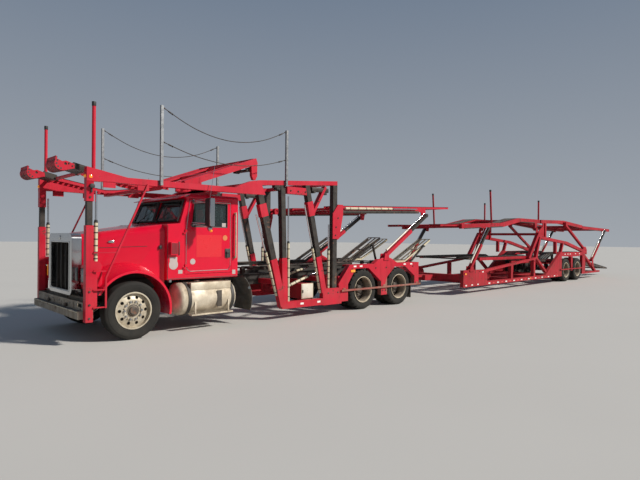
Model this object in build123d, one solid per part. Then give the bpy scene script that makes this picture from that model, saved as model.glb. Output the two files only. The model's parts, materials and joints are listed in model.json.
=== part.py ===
"""Articulated car transporter: bonneted tractor with loading decks and a stinger-hitched deck trailer.

Millimetres. X runs forward and is measured here from the front axle, Y to the vehicle's left, Z up from
the ground. Every piece is moved by the last loop so that the frame's origin is the middle of the footprint.
"""
from build123d import *
import math
import os

os.makedirs("parts", exist_ok=True)

# Overall stations
nose_x = 1130.0
tail_x = -24000.0
origin_x = (nose_x + tail_x) / 2
axle_height = 465.0
drive_axles = (-5460.0, -6815.0)
trailer_axles = (-17950.0, -19200.0)
pivot_x = -9000.0

# Widths from the middle line
frame_out = 1240.0
frame_wall = 110.0
frame_in = frame_out - frame_wall
deck_out = frame_in - 25
deck_wall = 95.0
deck_in = deck_out - deck_wall
track_width = 400.0
track_out = deck_in - 50
track_in = track_out - track_width
rail_out = track_in - 90
rail_in = rail_out - 80
side_band = (frame_in, frame_out)
deck_band = (deck_in, deck_out)
track_band = (track_in, track_out)
rail_band = (rail_in, rail_out)
track_depth = 60.0
track_floor = 10.0
track_flange = 14.0

# Clearances
face_gap = 0.3
running_gap = 5.0
pin_gap = 0.3
slide_gap = 0.8

# Wheels
tyre_radius = 465.0
tyre_width = 255.0
shoulder_drop = 18.0
shoulder_width = 30.0
bead_radius = 292.0
bead_inset = 25.0
flange_radius = 304.0
flange_width = 12.0
barrel_wall = 14.0
rim_half = 118.0
disc_thickness = 16.0
spindle_radius = 45.0
spindle_length = 190.0
front_hub_radius = 105.0
dual_hub_radius = 140.0
drum_radius = 205.0
hand_hole_count = 10
hand_hole_radius = 27.0
hand_hole_circle = 212.0
stud_count = 10
stud_radius = 14.0
stud_circle = 142.0
dual_spacing = 290.0
dual_y = frame_out - (dual_spacing + tyre_width) / 2
wing_out = frame_in + 65
steer_wheel_y = wing_out - tyre_width / 2 - 25

# Chassis
rail_bottom = 680.0
rail_top = 905.0
rail_front = 600.0
rail_rear = -7440.0
kingpin_y = steer_wheel_y - 162.5
kingpin_radius = 22.0
kingpin_boss = 48.0
axle_beam_half = 55.0
boss_height = 120.0
knuckle_lug = 34.0
hitch_height = 460.0
hitch_pin_radius = 45.0
hitch_pin_length = 150.0
tongue_thickness = 100.0
tow_bore_radius = 20.0

# Bonnet and cab
bonnet_front = 610.0
cowl_x = -640.0
cab_rear = -2110.0
cab_half = 1000.0
cab_floor = 910.0
cab_roof = 2420.0
cab_wall = 45.0
cowl_height = 1868.0
bonnet_height = 1680.0
bonnet_bottom = 760.0
bonnet_wall = 14.0
bonnet_front_half = 590.0
bonnet_rear_half = 905.0
screen_base_x = -880.0
screen_top_x = -1020.0
arch_radius = 600.0
arch_lip = 38.0
wing_in = 720.0
wing_crown = 150.0
door_front = -980.0
door_rear = -1940.0
door_bottom = 1000.0
door_top = cab_roof - 90
door_gap = 6.0
hinge_x = -977.0
hinge_y = 1013.0
hinge_radius = 7.0
hinge_boss = 12.0
window_bottom = 1830.0
window_margin = 90.0
glass_thickness = 6.0
corner_radius = 60.0
seat_y = 515.0
seat_top = cab_floor + 390
dash_top = cowl_height - 68

# Grille and bumper
grille_front = 760.0
grille_half = 580.0
grille_bottom = 706.0
grille_top = 1695.0
grille_open_half = 450.0
grille_open_bottom = 780.0
grille_open_top = 1545.0
grille_bar_count = 3
grille_bar_width = 18.0
bumper_back = 621.3
bumper_front = 775.0
bumper_lip = 845.0
bumper_bottom = 400.0
bumper_step = 520.0
bumper_face_top = 650.0
bumper_top = 690.0
bumper_wall = 12.0

# Upper frames
head_deck_bottom = cab_roof + 50
post_x = 715.0
post_width = 107.0
post_bottom = 360.0
post_lower_top = head_deck_bottom - 660
post_sleeve_bottom = head_deck_bottom - 300
beam_depth = 100.0
arm_nose = (1025.0, head_deck_bottom + 257)
arm_nose_radius = 101.0
arm_tube_depth = 90.0
arm_band = (track_in - 35, track_out + 10)
front_tube = (660.0, head_deck_bottom + 180)
front_tube_radius = 30.0
ramp_pivot = (-930.0, head_deck_bottom + 100)
ramp_tip = (-2470.0, head_deck_bottom + 670)
ramp_depth = 115.0
rear_deck_pin = (-4665.0, 2330.0)
rear_arm_foot = (-6300.0, 1235.0)
rear_arm_head = (-8050.0, 2290.0)
front_deck_pin = (-15300.0, 2060.0)
front_arm_foot = (-10400.0, 800.0)
front_arm_head = (-11500.0, 2010.0)
tail_deck_pin = (-20180.0, 2200.0)
tail_arm_foot = (-21000.0, 780.0)
tail_arm_head = (-22800.0, 2130.0)
tail_ramp_pin = (-20420.0, 700.0)
line_post_out = 1290.0
line_post_width = 45.0
line_post_top = head_deck_bottom + 1330
line_radius = 7.0
rub_band = (frame_out + 10, frame_out + 42)


def block(x, y, z):
    """Box between the low and high values of each axis."""
    size = (x[1] - x[0], y[1] - y[0], z[1] - z[0])
    middle = ((x[0] + x[1]) / 2, (y[0] + y[1]) / 2, (z[0] + z[1]) / 2)
    return Pos(*middle) * Box(*size)


def slab(points, y):
    """Side-view outline of (x, z) points, as thick as the band y."""
    outline = Plane.XZ.offset(-y[1]) * make_face(Polyline(*points, close=True))
    return extrude(outline, amount=y[1] - y[0])


def bar(start, end, depth, y):
    """Straight member between two (x, z) points, with its depth square to its run."""
    run = Vector(end[0] - start[0], end[1] - start[1]).normalized() * (depth / 2)
    corners = [
        (start[0] - run.Y, start[1] + run.X),
        (end[0] - run.Y, end[1] + run.X),
        (end[0] + run.Y, end[1] - run.X),
        (start[0] + run.Y, start[1] - run.X),
    ]
    return slab(corners, y)


def deep_line(points, depth, y):
    """Member whose top edge follows (x, z) points, as deep all along, with upright ends."""
    below = [(x, z - depth) for x, z in reversed(points)]
    return slab(list(points) + below, y)


def channel(points, band):
    """Folded track: a thin floor along (x, z) points with a flange hanging down at each edge."""
    edges = ((band[0], band[0] + track_flange), (band[1] - track_flange, band[1]))
    return joined(deep_line(points, track_floor, band), [deep_line(points, track_depth, edge) for edge in edges])


def strip(points, thickness, y):
    """Bent plate along (x, z) points, rounded at its bends."""
    runs = [bar(start, end, thickness, y) for start, end in zip(points, points[1:])]
    return joined(runs, [pin(x, z, thickness / 2, y) for x, z in points[1:-1]])


def rod(start, end, radius):
    """Round bar between two points of space."""
    run = Vector(*end) - Vector(*start)
    plane = Plane(origin=start, z_dir=run.normalized())
    return plane * Cylinder(radius, run.length, align=(Align.CENTER, Align.CENTER, Align.MIN))


def pin(x, z, radius, y):
    """Round pin across the vehicle over the band y."""
    return rod((x, y[0], z), (x, y[1], z), radius)


def ring(x, z, radius, bore, y):
    """Eye across the vehicle over the band y."""
    return pin(x, z, radius, y) - pin(x, z, bore, y)


def cross(x, z, width, height, half):
    """Cross member from side to side, centred at x and z."""
    return block((x - width / 2, x + width / 2), (-half, half), (z - height / 2, z + height / 2))


def twin(*shapes):
    """The shapes and their mirror images on the other side."""
    return list(shapes) + [mirror(shape, about=Plane.XZ) for shape in shapes]


def joined(*shapes):
    """One part of all the shapes."""
    flat = [part for shape in shapes for part in (shape if isinstance(shape, list) else [shape])]
    return flat[0] + flat[1:] if len(flat) > 1 else flat[0]


def apart(*shapes):
    """Solids that share a node and do not touch."""
    flat = [part for shape in shapes for part in (shape if isinstance(shape, list) else [shape])]
    return Compound([solid for part in flat for solid in part.solids()])


def over_rack(*points):
    """Points given by x and their rise over the head deck's lowest edge, as (x, z)."""
    return [(x, head_deck_bottom + rise) for x, rise in points]


def along(start, end, share):
    """Point at a share of the way between two (x, z) points."""
    return (start[0] + (end[0] - start[0]) * share, start[1] + (end[1] - start[1]) * share)


def spun(points):
    """Round piece about the wheel's axis, from (y, radius) points."""
    return Rot(0, 0, 90) * revolve(make_face(Polyline(*points, close=True)), Axis.X)


nodes = {}


# Wheels

def tyre(y):
    """Tyre centred at y on the axle line."""
    half = tyre_width / 2
    profile = [
        (y - half + bead_inset, bead_radius),
        (y - half, tyre_radius - 75),
        (y - half + shoulder_width, tyre_radius - shoulder_drop / 2),
        (y, tyre_radius),
        (y + half - shoulder_width, tyre_radius - shoulder_drop / 2),
        (y + half, tyre_radius - 75),
        (y + half - bead_inset, bead_radius),
    ]
    return spun(profile)


def rim_barrel(y):
    """Rim barrel with its two flanges, under a tyre centred at y."""
    inner = bead_radius - barrel_wall
    seat = bead_radius - face_gap
    edge = tyre_width / 2 - bead_inset + 4
    profile = [(y - edge - flange_width, inner), (y - edge - flange_width, flange_radius - 6),
               (y - edge - 1, flange_radius - 6), (y - edge, seat), (y + edge, seat),
               (y + edge + 1, flange_radius - 6), (y + edge + flange_width, flange_radius - 6),
               (y + edge + flange_width, inner)]
    return spun(profile)


def front_rim():
    """Ten-hole disc wheel with its hub, centred on the tyre."""
    disc_y = 62.0
    barrel = rim_barrel(0)
    disc = spun([(disc_y - 30, bead_radius - 8), (disc_y, 165), (disc_y, 60),
                 (disc_y + disc_thickness, 60), (disc_y + disc_thickness, 172),
                 (disc_y - 30 + disc_thickness, bead_radius - 8)])
    hub = spun([(-60, 0), (-60, 90), (disc_y + disc_thickness + 8, front_hub_radius),
                (disc_y + disc_thickness + 8, 80), (118, 66), (126, 40), (126, 0)])
    holes = PolarLocations(hand_hole_circle, hand_hole_count)
    studs = PolarLocations(stud_circle, stud_count, start_angle=18)
    lay = Rot(-90, 0, 0)
    cut = [lay * place * Cylinder(hand_hole_radius, 400) for place in holes]
    nuts = [lay * place * Pos(0, 0, disc_y + disc_thickness + 9) * Cylinder(stud_radius, 22) for place in studs]
    bore = rod((0, -61, 0), (0, spindle_length - 120, 0), spindle_radius + pin_gap)
    return barrel + (disc - cut) + hub + nuts - bore


def dual_wheel():
    """Two tyres on their rims, with the shared disc, hub and drum, as one wheel."""
    half = dual_spacing / 2
    pieces = []
    for y in (-half, half):
        pieces += [tyre(y), spun([(y - 126, bead_radius - barrel_wall), (y - 126, flange_radius - 6),
                                  (y - 110, bead_radius + 5), (y + 110, bead_radius + 5),
                                  (y + 126, flange_radius - 6), (y + 126, bead_radius - barrel_wall)])]
    disc = spun([(-20, 60), (-20, bead_radius - 4), (20, bead_radius - 4), (20, 60)])
    hub = spun([(-150, 0), (-150, 90), (-30, dual_hub_radius + 45), (30, dual_hub_radius + 45),
                (34, dual_hub_radius), (120, 112), (150, 100), (150, 0)])
    drum = spun([(-255, drum_radius - 20), (-255, drum_radius), (-20, drum_radius), (-20, drum_radius - 20)])
    bore = rod((0, -151, 0), (0, 60, 0), spindle_radius + pin_gap)
    return joined(pieces, disc, hub, drum) - bore


front_tyre = tyre(0)
front_wheel = front_rim()
twin_wheel = dual_wheel()
for side, sign in (("left", 1), ("right", -1)):
    place = Pos(0, sign * steer_wheel_y, axle_height)
    turn = Rot(0, 0, 0 if sign > 0 else 180)
    nodes["front_tyre_" + side] = place * turn * front_tyre
    nodes["front_rim_" + side] = place * turn * front_wheel
    for label, stations in (("drive", drive_axles), ("trailer", trailer_axles)):
        for name, station in zip(("a", "b"), stations):
            spot = Pos(station, sign * dual_y, axle_height)
            nodes[f"{label}_wheel_{name}_{side}"] = spot * turn * twin_wheel


# Axles and steering

def knuckle():
    """Left steering knuckle: two lugs about the axle's eye, the kingpin and the wheel's spindle."""
    reach = boss_height / 2 + face_gap
    lugs = [block((-kingpin_boss, kingpin_boss), (kingpin_y - kingpin_boss, kingpin_y + kingpin_boss), band)
            for band in ((axle_height + reach, axle_height + reach + knuckle_lug),
                         (axle_height - reach - knuckle_lug, axle_height - reach))]
    web_y = kingpin_y + kingpin_boss + 8
    web = block((-kingpin_boss, kingpin_boss), (web_y, web_y + 18),
                (axle_height - reach - knuckle_lug, axle_height + reach + knuckle_lug))
    tie = [block((-kingpin_boss, kingpin_boss), (kingpin_y + 30, web_y + 2), band) for band in
           ((axle_height + reach, axle_height + reach + knuckle_lug),
            (axle_height - reach - knuckle_lug, axle_height - reach))]
    king = rod((0, kingpin_y, axle_height - reach - knuckle_lug),
               (0, kingpin_y, axle_height + reach + knuckle_lug), kingpin_radius)
    spindle = rod((0, web_y + 10, axle_height), (0, steer_wheel_y + spindle_length - 125, axle_height),
                  spindle_radius)
    arm = block((-200, -30), (kingpin_y - 20, kingpin_y + 20),
                (axle_height - reach - knuckle_lug, axle_height - reach))
    return joined(lugs, tie, web, king, spindle, arm)


def axle_tube(station, carrier):
    """Axle tube with its spindles, its spring seats up to the rails and, on a driven axle, its carrier."""
    inner = dual_y - 262
    tube = pin(station, axle_height, 70, (-inner, inner))
    spindles = twin(pin(station, axle_height, spindle_radius, (inner - 2, dual_y + 50)))
    seats = twin(block((station - 150, station + 150), rail_band, (axle_height - 40, rail_bottom)))
    pieces = [tube, spindles, seats]
    if carrier:
        pieces.append(Pos(station, 0, axle_height) * Sphere(185))
        pieces.append(rod((station, 0, axle_height), (station + 330, 0, axle_height + 20), 80))
    return joined(*pieces)


beam_end = kingpin_y - 30
eye = rod((0, kingpin_y, axle_height - boss_height / 2), (0, kingpin_y, axle_height + boss_height / 2),
          kingpin_boss - 8)
eye_bore = rod((0, kingpin_y, axle_height - 100), (0, kingpin_y, axle_height + 100), kingpin_radius + pin_gap)
beam = block((-axle_beam_half, axle_beam_half), (-beam_end, beam_end), (axle_height - 55, axle_height + 20))
leaf_low = axle_height + 20
leaves = twin(block((-620, 520), rail_band, (leaf_low + 40, leaf_low + 85)),
              block((-90, 90), rail_band, (leaf_low - 20, leaf_low + 42)),
              block((-620, -540), rail_band, (leaf_low + 60, rail_bottom)),
              block((440, 520), rail_band, (leaf_low + 60, rail_bottom)))
front_axle = joined(beam, twin(eye), leaves) - twin(eye_bore)
nodes["tractor_axles"] = apart(front_axle, *[axle_tube(x, True) for x in drive_axles])
left_knuckle = knuckle()
nodes["knuckle_left"] = left_knuckle
nodes["knuckle_right"] = mirror(left_knuckle, about=Plane.XZ)


# Chassis of the tractor

rails = twin(block((rail_rear, rail_front), rail_band, (rail_bottom, rail_top)))
rail_cross = [block((x - 50, x + 50), (-rail_in, rail_in), (rail_bottom + 40, rail_top - 40))
              for x in (-1500, -2600, -3600, -4700, -6140, -7380)]
drop_plates = twin(block((rail_front - 72, rail_front), rail_band, (420, rail_bottom + 1)),
                   block((rail_front - 20, 621), rail_band, (420, grille_bottom - 10)))
stinger = twin(slab([(rail_rear, rail_top), (rail_rear, 330), (-8750, 330), (-8750, 455), (-8000, 600)],
                    rail_band))
stinger_plate = block((-9100, -8600), (-rail_out, rail_out), (330, hitch_height)) \
    - block((-9101, -8900), (240, 600), (300, 500)) - block((-9101, -8900), (-600, -240), (300, 500))
stinger_cross = block((-8100, -8000), (-rail_in, rail_in), (380, 500))
hitch_pin = rod((pivot_x, 0, hitch_height - 10), (pivot_x, 0, hitch_height + hitch_pin_length), hitch_pin_radius)
tow_bores = twin(pin(rail_front - 36, 480, tow_bore_radius, (rail_in - 5, rail_out + 5)))
nodes["chassis_frame"] = joined(rails, rail_cross, drop_plates, stinger, stinger_plate, stinger_cross,
                                hitch_pin) - tow_bores
nodes["engine_block"] = joined(block((-620, 480), (-rail_in + face_gap, rail_in - face_gap), (560, 1430)),
                               block((-1420, -610), (-230, 230), (600, 895)))


# Bonnet with flared wings

def bonnet_section(x, half, height, bottom, wall):
    """Cross section of the bonnet at x, inset by a wall."""
    width = 2 * (half - wall)
    tall = height - bottom - wall
    outline = Pos(0, bottom + tall / 2) * RectangleRounded(width, tall, 130)
    return Plane(origin=(x, 0, 0), x_dir=(0, 1, 0), z_dir=(1, 0, 0)) * outline


outer = loft([bonnet_section(bonnet_front, bonnet_front_half, bonnet_height, bonnet_bottom, 0),
              bonnet_section(cowl_x + face_gap, bonnet_rear_half, cowl_height, bonnet_bottom, 0)])
inner = loft([bonnet_section(bonnet_front + 1, bonnet_front_half, bonnet_height, bonnet_bottom, bonnet_wall),
              bonnet_section(cowl_x - 1, bonnet_rear_half, cowl_height, bonnet_bottom, bonnet_wall)])
wing_profile = [(wing_in, arch_radius), (wing_out, arch_radius), (wing_out, arch_radius + arch_lip),
                (wing_out - 60, arch_radius + arch_lip + 8), (wing_in + 60, arch_radius + wing_crown),
                (wing_in, arch_radius + wing_crown)]
wing_full = Pos(0, 0, axle_height) * spun(wing_profile)
wing_limit = block((-645, 635), (0, wing_out + 1), (axle_height - 110, 1400)) \
    - block((300, 636), (0, wing_out + 1), (300, 750))
wing = wing_full & wing_limit
arch_cut = pin(0, axle_height, arch_radius, (540, wing_out + 10))
mid_floor = block((cowl_x - 20, bonnet_front + 20), (-560, 560), (700, bonnet_bottom + 150))
shell = outer - inner
shell = shell - twin(arch_cut) - mid_floor
nodes["bonnet"] = joined(shell, twin(wing - inner))


# Grille, bumper and lamps

grille_plane = Plane(origin=(bonnet_front + face_gap, 0, 0), x_dir=(0, 1, 0), z_dir=(1, 0, 0))
grille_tall = grille_top - grille_bottom
grille_mid = (grille_top + grille_bottom) / 2
grille_depth = grille_front - bonnet_front - face_gap
shell_face = grille_plane * (Pos(0, grille_mid) * RectangleRounded(2 * grille_half, grille_tall, 110))
open_tall = grille_open_top - grille_open_bottom
open_mid = (grille_open_top + grille_open_bottom) / 2
hole_face = grille_plane * (Pos(0, open_mid) * RectangleRounded(2 * grille_open_half, open_tall, 60))
grille_shell = extrude(shell_face, amount=grille_depth) - extrude(hole_face, amount=grille_depth)
grille_step = 2 * grille_open_half / (grille_bar_count + 1)
grille_bars = [block((bonnet_front + 60, grille_front - 25),
                     (grille_step * (i + 1) - grille_open_half - grille_bar_width / 2,
                      grille_step * (i + 1) - grille_open_half + grille_bar_width / 2),
                     (grille_open_bottom - 10, grille_open_top + 10)) for i in range(grille_bar_count)]
grille_back = block((bonnet_front + 20, bonnet_front + 30), (-grille_open_half - 20, grille_open_half + 20),
                    (grille_open_bottom - 10, grille_open_top + 10))
nodes["grille"] = joined(grille_shell, grille_bars, grille_back)

bumper_span = (-frame_in + face_gap, frame_in - face_gap)
bumper_plates = [
    # x band, z band
    ((bumper_back, bumper_back + bumper_wall), (bumper_bottom, bumper_top)),
    ((bumper_back, bumper_back + 40), (bumper_top - bumper_wall, bumper_top)),
    ((bumper_back, bumper_lip), (bumper_bottom, bumper_bottom + bumper_wall)),
    ((bumper_front - bumper_wall, bumper_front), (bumper_bottom, bumper_face_top)),
    ((bumper_front - 1, bumper_lip), (bumper_step - bumper_wall, bumper_step)),
    ((bumper_lip - bumper_wall, bumper_lip), (bumper_bottom, bumper_step)),
]
bumper_ends = twin(block((bumper_back, bumper_front), (bumper_span[1] - bumper_wall, bumper_span[1]),
                         (bumper_bottom, bumper_face_top)),
                   block((bumper_back, bumper_lip), (bumper_span[1] - bumper_wall, bumper_span[1]),
                         (bumper_bottom, bumper_step)))
bumper_slots = [
    # middle y, width, bottom z, top z
    (-738, 20, 530, 620), (-509, 20, 535, 625), (-369, 16, 530, 620), (-207, 22, 530, 615), (-74, 16, 535, 620),
    (157, 20, 530, 625), (330, 18, 530, 620), (451, 16, 535, 620), (730, 22, 530, 625),
    (frame_in - 140, 190, 570, 625),
]
slots = [block((bumper_front - 20, bumper_front + 5), (y - width / 2, y + width / 2), (low, high))
         for y, width, low, high in bumper_slots]
nodes["front_bumper"] = joined([block(x, bumper_span, z) for x, z in bumper_plates], bumper_ends) - slots

head_lamp = block((480, 640), (grille_half + 48, wing_out - 83), (872, 1190))
nodes["head_lamps"] = apart(twin(head_lamp - wing - outer))


# Cab

side_view = [(cab_rear, cab_floor), (cowl_x, cab_floor), (cowl_x, cowl_height), (screen_base_x, cowl_height + 20),
             (screen_top_x, cab_roof - 55), (screen_top_x - 90, cab_roof), (cab_rear + 40, cab_roof),
             (cab_rear, cab_roof - 60)]
inner_view = [(cab_rear + cab_wall, cab_floor + cab_wall), (cowl_x - cab_wall, cab_floor + cab_wall),
              (cowl_x - cab_wall, cowl_height - cab_wall), (screen_base_x - 50, cowl_height - cab_wall + 15),
              (screen_top_x - 45, cab_roof - 95), (screen_top_x - 105, cab_roof - cab_wall),
              (cab_rear + 70, cab_roof - cab_wall), (cab_rear + cab_wall, cab_roof - 90)]
cab_outer = slab(side_view, (-cab_half, cab_half))
cab_outer = fillet(cab_outer.edges().filter_by(Axis.X).filter_by_position(Axis.Z, cab_roof - 1, cab_roof + 1),
                   corner_radius)
rear_corners = cab_outer.edges().filter_by(Axis.Z).filter_by_position(Axis.X, cab_rear - 1, cab_rear + 1)
cab_outer = fillet(rear_corners, corner_radius - 10)
cab_inner = slab(inner_view, (-cab_half + cab_wall, cab_half - cab_wall))
door_view = [(door_front, door_bottom), (door_front, 1860), (door_front - 85, door_top), (door_rear, door_top),
             (door_rear, door_bottom)]
door_hole = slab([(door_front + door_gap, door_bottom - door_gap), (door_front + door_gap, 1860),
                  (door_front - 85 + door_gap, door_top + door_gap), (door_rear - door_gap, door_top + door_gap),
                  (door_rear - door_gap, door_bottom - door_gap)], (-cab_half - 50, cab_half + 50))
screen_run = (screen_top_x - screen_base_x, cab_roof - 55 - cowl_height - 20)
screen_slope = math.degrees(math.atan2(-screen_run[0], screen_run[1]))
screen_hole_view = [(screen_base_x + 60, cowl_height + 70), (screen_base_x - 90, cowl_height + 62),
                    (screen_top_x - 80, cab_roof - 130), (screen_top_x + 60, cab_roof - 112)]
screen_holes = twin(slab(screen_hole_view, (25, cab_half - 75)))
rear_window_band = (cab_roof - 660, cab_roof - 190)
rear_hole = block((cab_rear - 10, cab_rear + cab_wall + 10), (-520, 520), rear_window_band)
cab_shell = cab_outer - cab_inner - door_hole - screen_holes - rear_hole
visor = slab([(screen_top_x + 30, cab_roof - 62), (screen_top_x + 150, cab_roof - 95),
              (screen_top_x + 150, cab_roof - 85), (screen_top_x - 60, cab_roof - 20)], (-880, 880))
intake = twin(block((-830, -680), (cab_half - 5, cab_half + 70), (1340, 1560)))
grab_top = cab_roof - 310
handles = twin(rod((-2010, cab_half + 45, 1260), (-2010, cab_half + 45, grab_top + 10), 14),
               rod((-2010, cab_half - 10, 1270), (-2010, cab_half + 46, 1270), 12),
               rod((-2010, cab_half - 10, grab_top), (-2010, cab_half + 46, grab_top), 12))
mounts = twin(*[block((x - 60, x + 60), rail_band, (rail_top + face_gap, cab_floor + 2)) for x in (-760, -1980)])
hinge_spots = (1090, 1700)
hinge_pins = [joined(rod((hinge_x, hinge_y, z), (hinge_x, hinge_y, z + 80), hinge_radius),
                     rod((hinge_x, hinge_y, z), (hinge_x, hinge_y, z + 30), hinge_boss),
                     block((hinge_x + 4, hinge_x + 40), (cab_half - 5, hinge_y + hinge_boss), (z, z + 30)))
              for z in hinge_spots]
nodes["cab_shell"] = joined(cab_shell, visor, intake, handles, mounts, twin(*hinge_pins))

screen_mid = slab([(screen_base_x - 12, cowl_height + 72), (screen_base_x - 12 - glass_thickness, cowl_height + 71),
                   (screen_top_x - 12 - glass_thickness, cab_roof - 120), (screen_top_x - 12, cab_roof - 120)],
                  (25 + face_gap, cab_half - 75 - face_gap))
rear_glass = block((cab_rear + 18, cab_rear + 18 + glass_thickness), (-520 + face_gap, 520 - face_gap),
                   (rear_window_band[0] + face_gap, rear_window_band[1] - face_gap))
nodes["cab_glass"] = apart(twin(screen_mid & joined(*[slab(screen_hole_view, (25, cab_half - 75))])), rear_glass)

seat = joined(block((cab_rear + 210, cab_rear + 690), (seat_y - 245, seat_y + 245), (seat_top - 120, seat_top)),
              block((cab_rear + 100, cab_rear + 230), (seat_y - 225, seat_y + 225), (seat_top - 10, seat_top + 680)),
              block((cab_rear + 260, cab_rear + 640), (seat_y - 135, seat_y + 135),
                    (cab_floor + cab_wall, seat_top - 110)))
dash_front = cowl_x - cab_wall - face_gap
dash = slab([(dash_front, dash_top - 550), (dash_front, dash_top - 10), (cowl_x - 220, dash_top),
             (cowl_x - 350, dash_top - 100), (cowl_x - 320, dash_top - 300), (cowl_x - 160, dash_top - 550)],
            (-cab_half + cab_wall + 15, cab_half - cab_wall - 15))
wheel_hub = (cowl_x - 470, seat_y - 15, dash_top - 140)
column = rod((cowl_x - 290, seat_y - 15, dash_top - 240), wheel_hub, 26)
wheel_plane = Plane(origin=wheel_hub, z_dir=Vector(-180, 0, 100).normalized())
steering_wheel = wheel_plane * (Torus(215, 14) + Box(430, 30, 12) + Cylinder(50, 20))
nodes["cab_interior"] = apart(twin(seat), joined(dash, column, steering_wheel))


# Doors, their glass and mirrors

def door():
    """Left door: panel with its window cut, handle and the mirror on its arms."""
    band = (cab_half - cab_wall, cab_half)
    panel = slab(door_view, band)
    window = slab(window_view(0), (cab_half - cab_wall - 10, cab_half + 10))
    handle = block((door_rear + 60, door_rear + 110), (cab_half - 2, cab_half + 22), (1270, 1390))
    arms = [rod((-1110, cab_half - 8, window_bottom + 75), (-1290, cab_half + 275, window_bottom + 60), 13),
            rod((-1130, cab_half - 8, door_top - 75), (-1290, cab_half + 275, door_top - 60), 13)]
    mirror_body = block((-1330, -1250), (cab_half + 200, cab_half + 390), (window_bottom + 10, door_top))
    leaves = [block((hinge_x - 60, hinge_x), (cab_half - 2, hinge_y + hinge_boss), (z + 30 + face_gap, z + 80))
              for z in hinge_spots]
    barrels = [rod((hinge_x, hinge_y, z + 30 + face_gap), (hinge_x, hinge_y, z + 80), hinge_boss)
               for z in hinge_spots]
    bores = [rod((hinge_x, hinge_y, z), (hinge_x, hinge_y, z + 90), hinge_radius + pin_gap) for z in hinge_spots]
    return joined(panel - window, handle, arms, mirror_body, leaves, barrels) - bores


def window_view(inset):
    """Side-view outline of the door's window, smaller by an inset."""
    return [(door_front - window_margin - 40 - inset, window_bottom + inset),
            (door_front - window_margin - 85 - inset, door_top - 60 - inset),
            (door_rear + window_margin + inset, door_top - 60 - inset),
            (door_rear + window_margin + inset, window_bottom + inset)]


left_door = door()
left_glass = slab(window_view(face_gap), (cab_half - 30, cab_half - 30 + glass_thickness))
nodes["door_left"] = left_door
nodes["door_right"] = mirror(left_door, about=Plane.XZ)
nodes["door_glass_left"] = left_glass
nodes["door_glass_right"] = mirror(left_glass, about=Plane.XZ)


# Tanks, quarter wings, flaps and side box

tank = rod((-2000, 870, 560), (-800, 870, 560), 290)
tank_straps = [rod((x - 30, 870, 560), (x + 30, 870, 560), 300) for x in (-1000, -1880)]
tank_step = block((-1880, -1000), (1080, 1200), (275, 305))
tank_top_step = block((-1860, -1020), (990, 1130), (815, 850))
tank_tread = block((-1860, -1020), (1060, 1130), (700, 830))
tank_hanger = [block((x - 30, x + 30), (rail_out + face_gap, 640), (720, 790)) for x in (-1000, -1880)]
tank_solid = joined(tank, tank_straps, tank_step, tank_top_step, tank_tread, tank_hanger,
                    [block((x - 20, x + 20), (1060, 1180), (275, 420)) for x in (-1100, -1780)])
nodes["fuel_tanks"] = apart(twin(tank_solid))
quarter_outer = Pos(-1700, 0, 480) * spun([(640, 590), (wing_out - 5, 590), (wing_out - 5, 600), (640, 600)])
quarter = quarter_outer & block((-2400, -2120), (600, wing_out), (270, 960))
quarter_stay = block((-2240, -2180), (rail_out + face_gap, 700), (740, 800))
flap_face = face_gap - 7490
flap = block((flap_face, flap_face + 10), (frame_in - 330, frame_in - 10), (120, 780))
nodes["wings_and_flaps"] = apart(twin(joined(quarter, quarter_stay), flap))
box_inside = frame_in - 410
box_body = block((-3960, -3620), (box_inside, frame_in - 10), (370, 690))
box_stay = block((-3850, -3730), (rail_out + face_gap, box_inside + 10), (630, 760))
nodes["side_boxes"] = apart(twin(joined(box_body, box_stay)))

# Front rack: posts, ladder, inner posts and cylinders

post_band = (frame_in, frame_out - 6)
half_post = post_width / 2
post_solid = block((post_x - half_post, post_x + half_post), post_band, (post_bottom, post_lower_top))
post_sleeve = block((post_x - half_post, post_x + half_post), post_band, (post_sleeve_bottom, head_deck_bottom))
ladder_out = frame_out + 20
ladder_rail = joined(bar((-175, head_deck_bottom + 16), (480, 1020), 26, (ladder_out - 26, ladder_out)),
                     block((467, 493), (ladder_out - 26, ladder_out), (560, 1026)))
rungs = [block((480, post_x - half_post + 5), (frame_out - 16, ladder_out - 4), (z - 9, z + 9))
         for z in (575, 840, 1120)]
upper_rungs = [block((300, post_x - half_post + 5), (frame_out - 16, ladder_out - 4), (1391, 1409))]
post_back = post_x - half_post + 2
cylinder_clamp = slab([(post_back, 1262), (570, 1262), (530, 1215), (545, 1130), (620, 1120), (post_back, 1140)],
                      (frame_in + 10, frame_out - 20))
gusset = slab([(post_back, 1110), (634, 1110), (595, 1060), (595, 600), (634, 540), (post_back, 540)],
              (wing_out + running_gap, wing_out + running_gap + 14))
post_cylinder_table = [
    # foot (x, z), head (x, z), barrel share of the length
    ((612, 1250), (612, head_deck_bottom - 130), 0.56),
    ((-2900, 480), (-2372, head_deck_bottom - 370), 0.55),
    ((-3200, 340), (-3185, head_deck_bottom + 30), 0.56),
    ((-4110, 455), (-3630, head_deck_bottom - 120), 0.52),
    ((-4345, 545), (-4345, head_deck_bottom - 510), 0.60),
]

# Head deck

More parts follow.
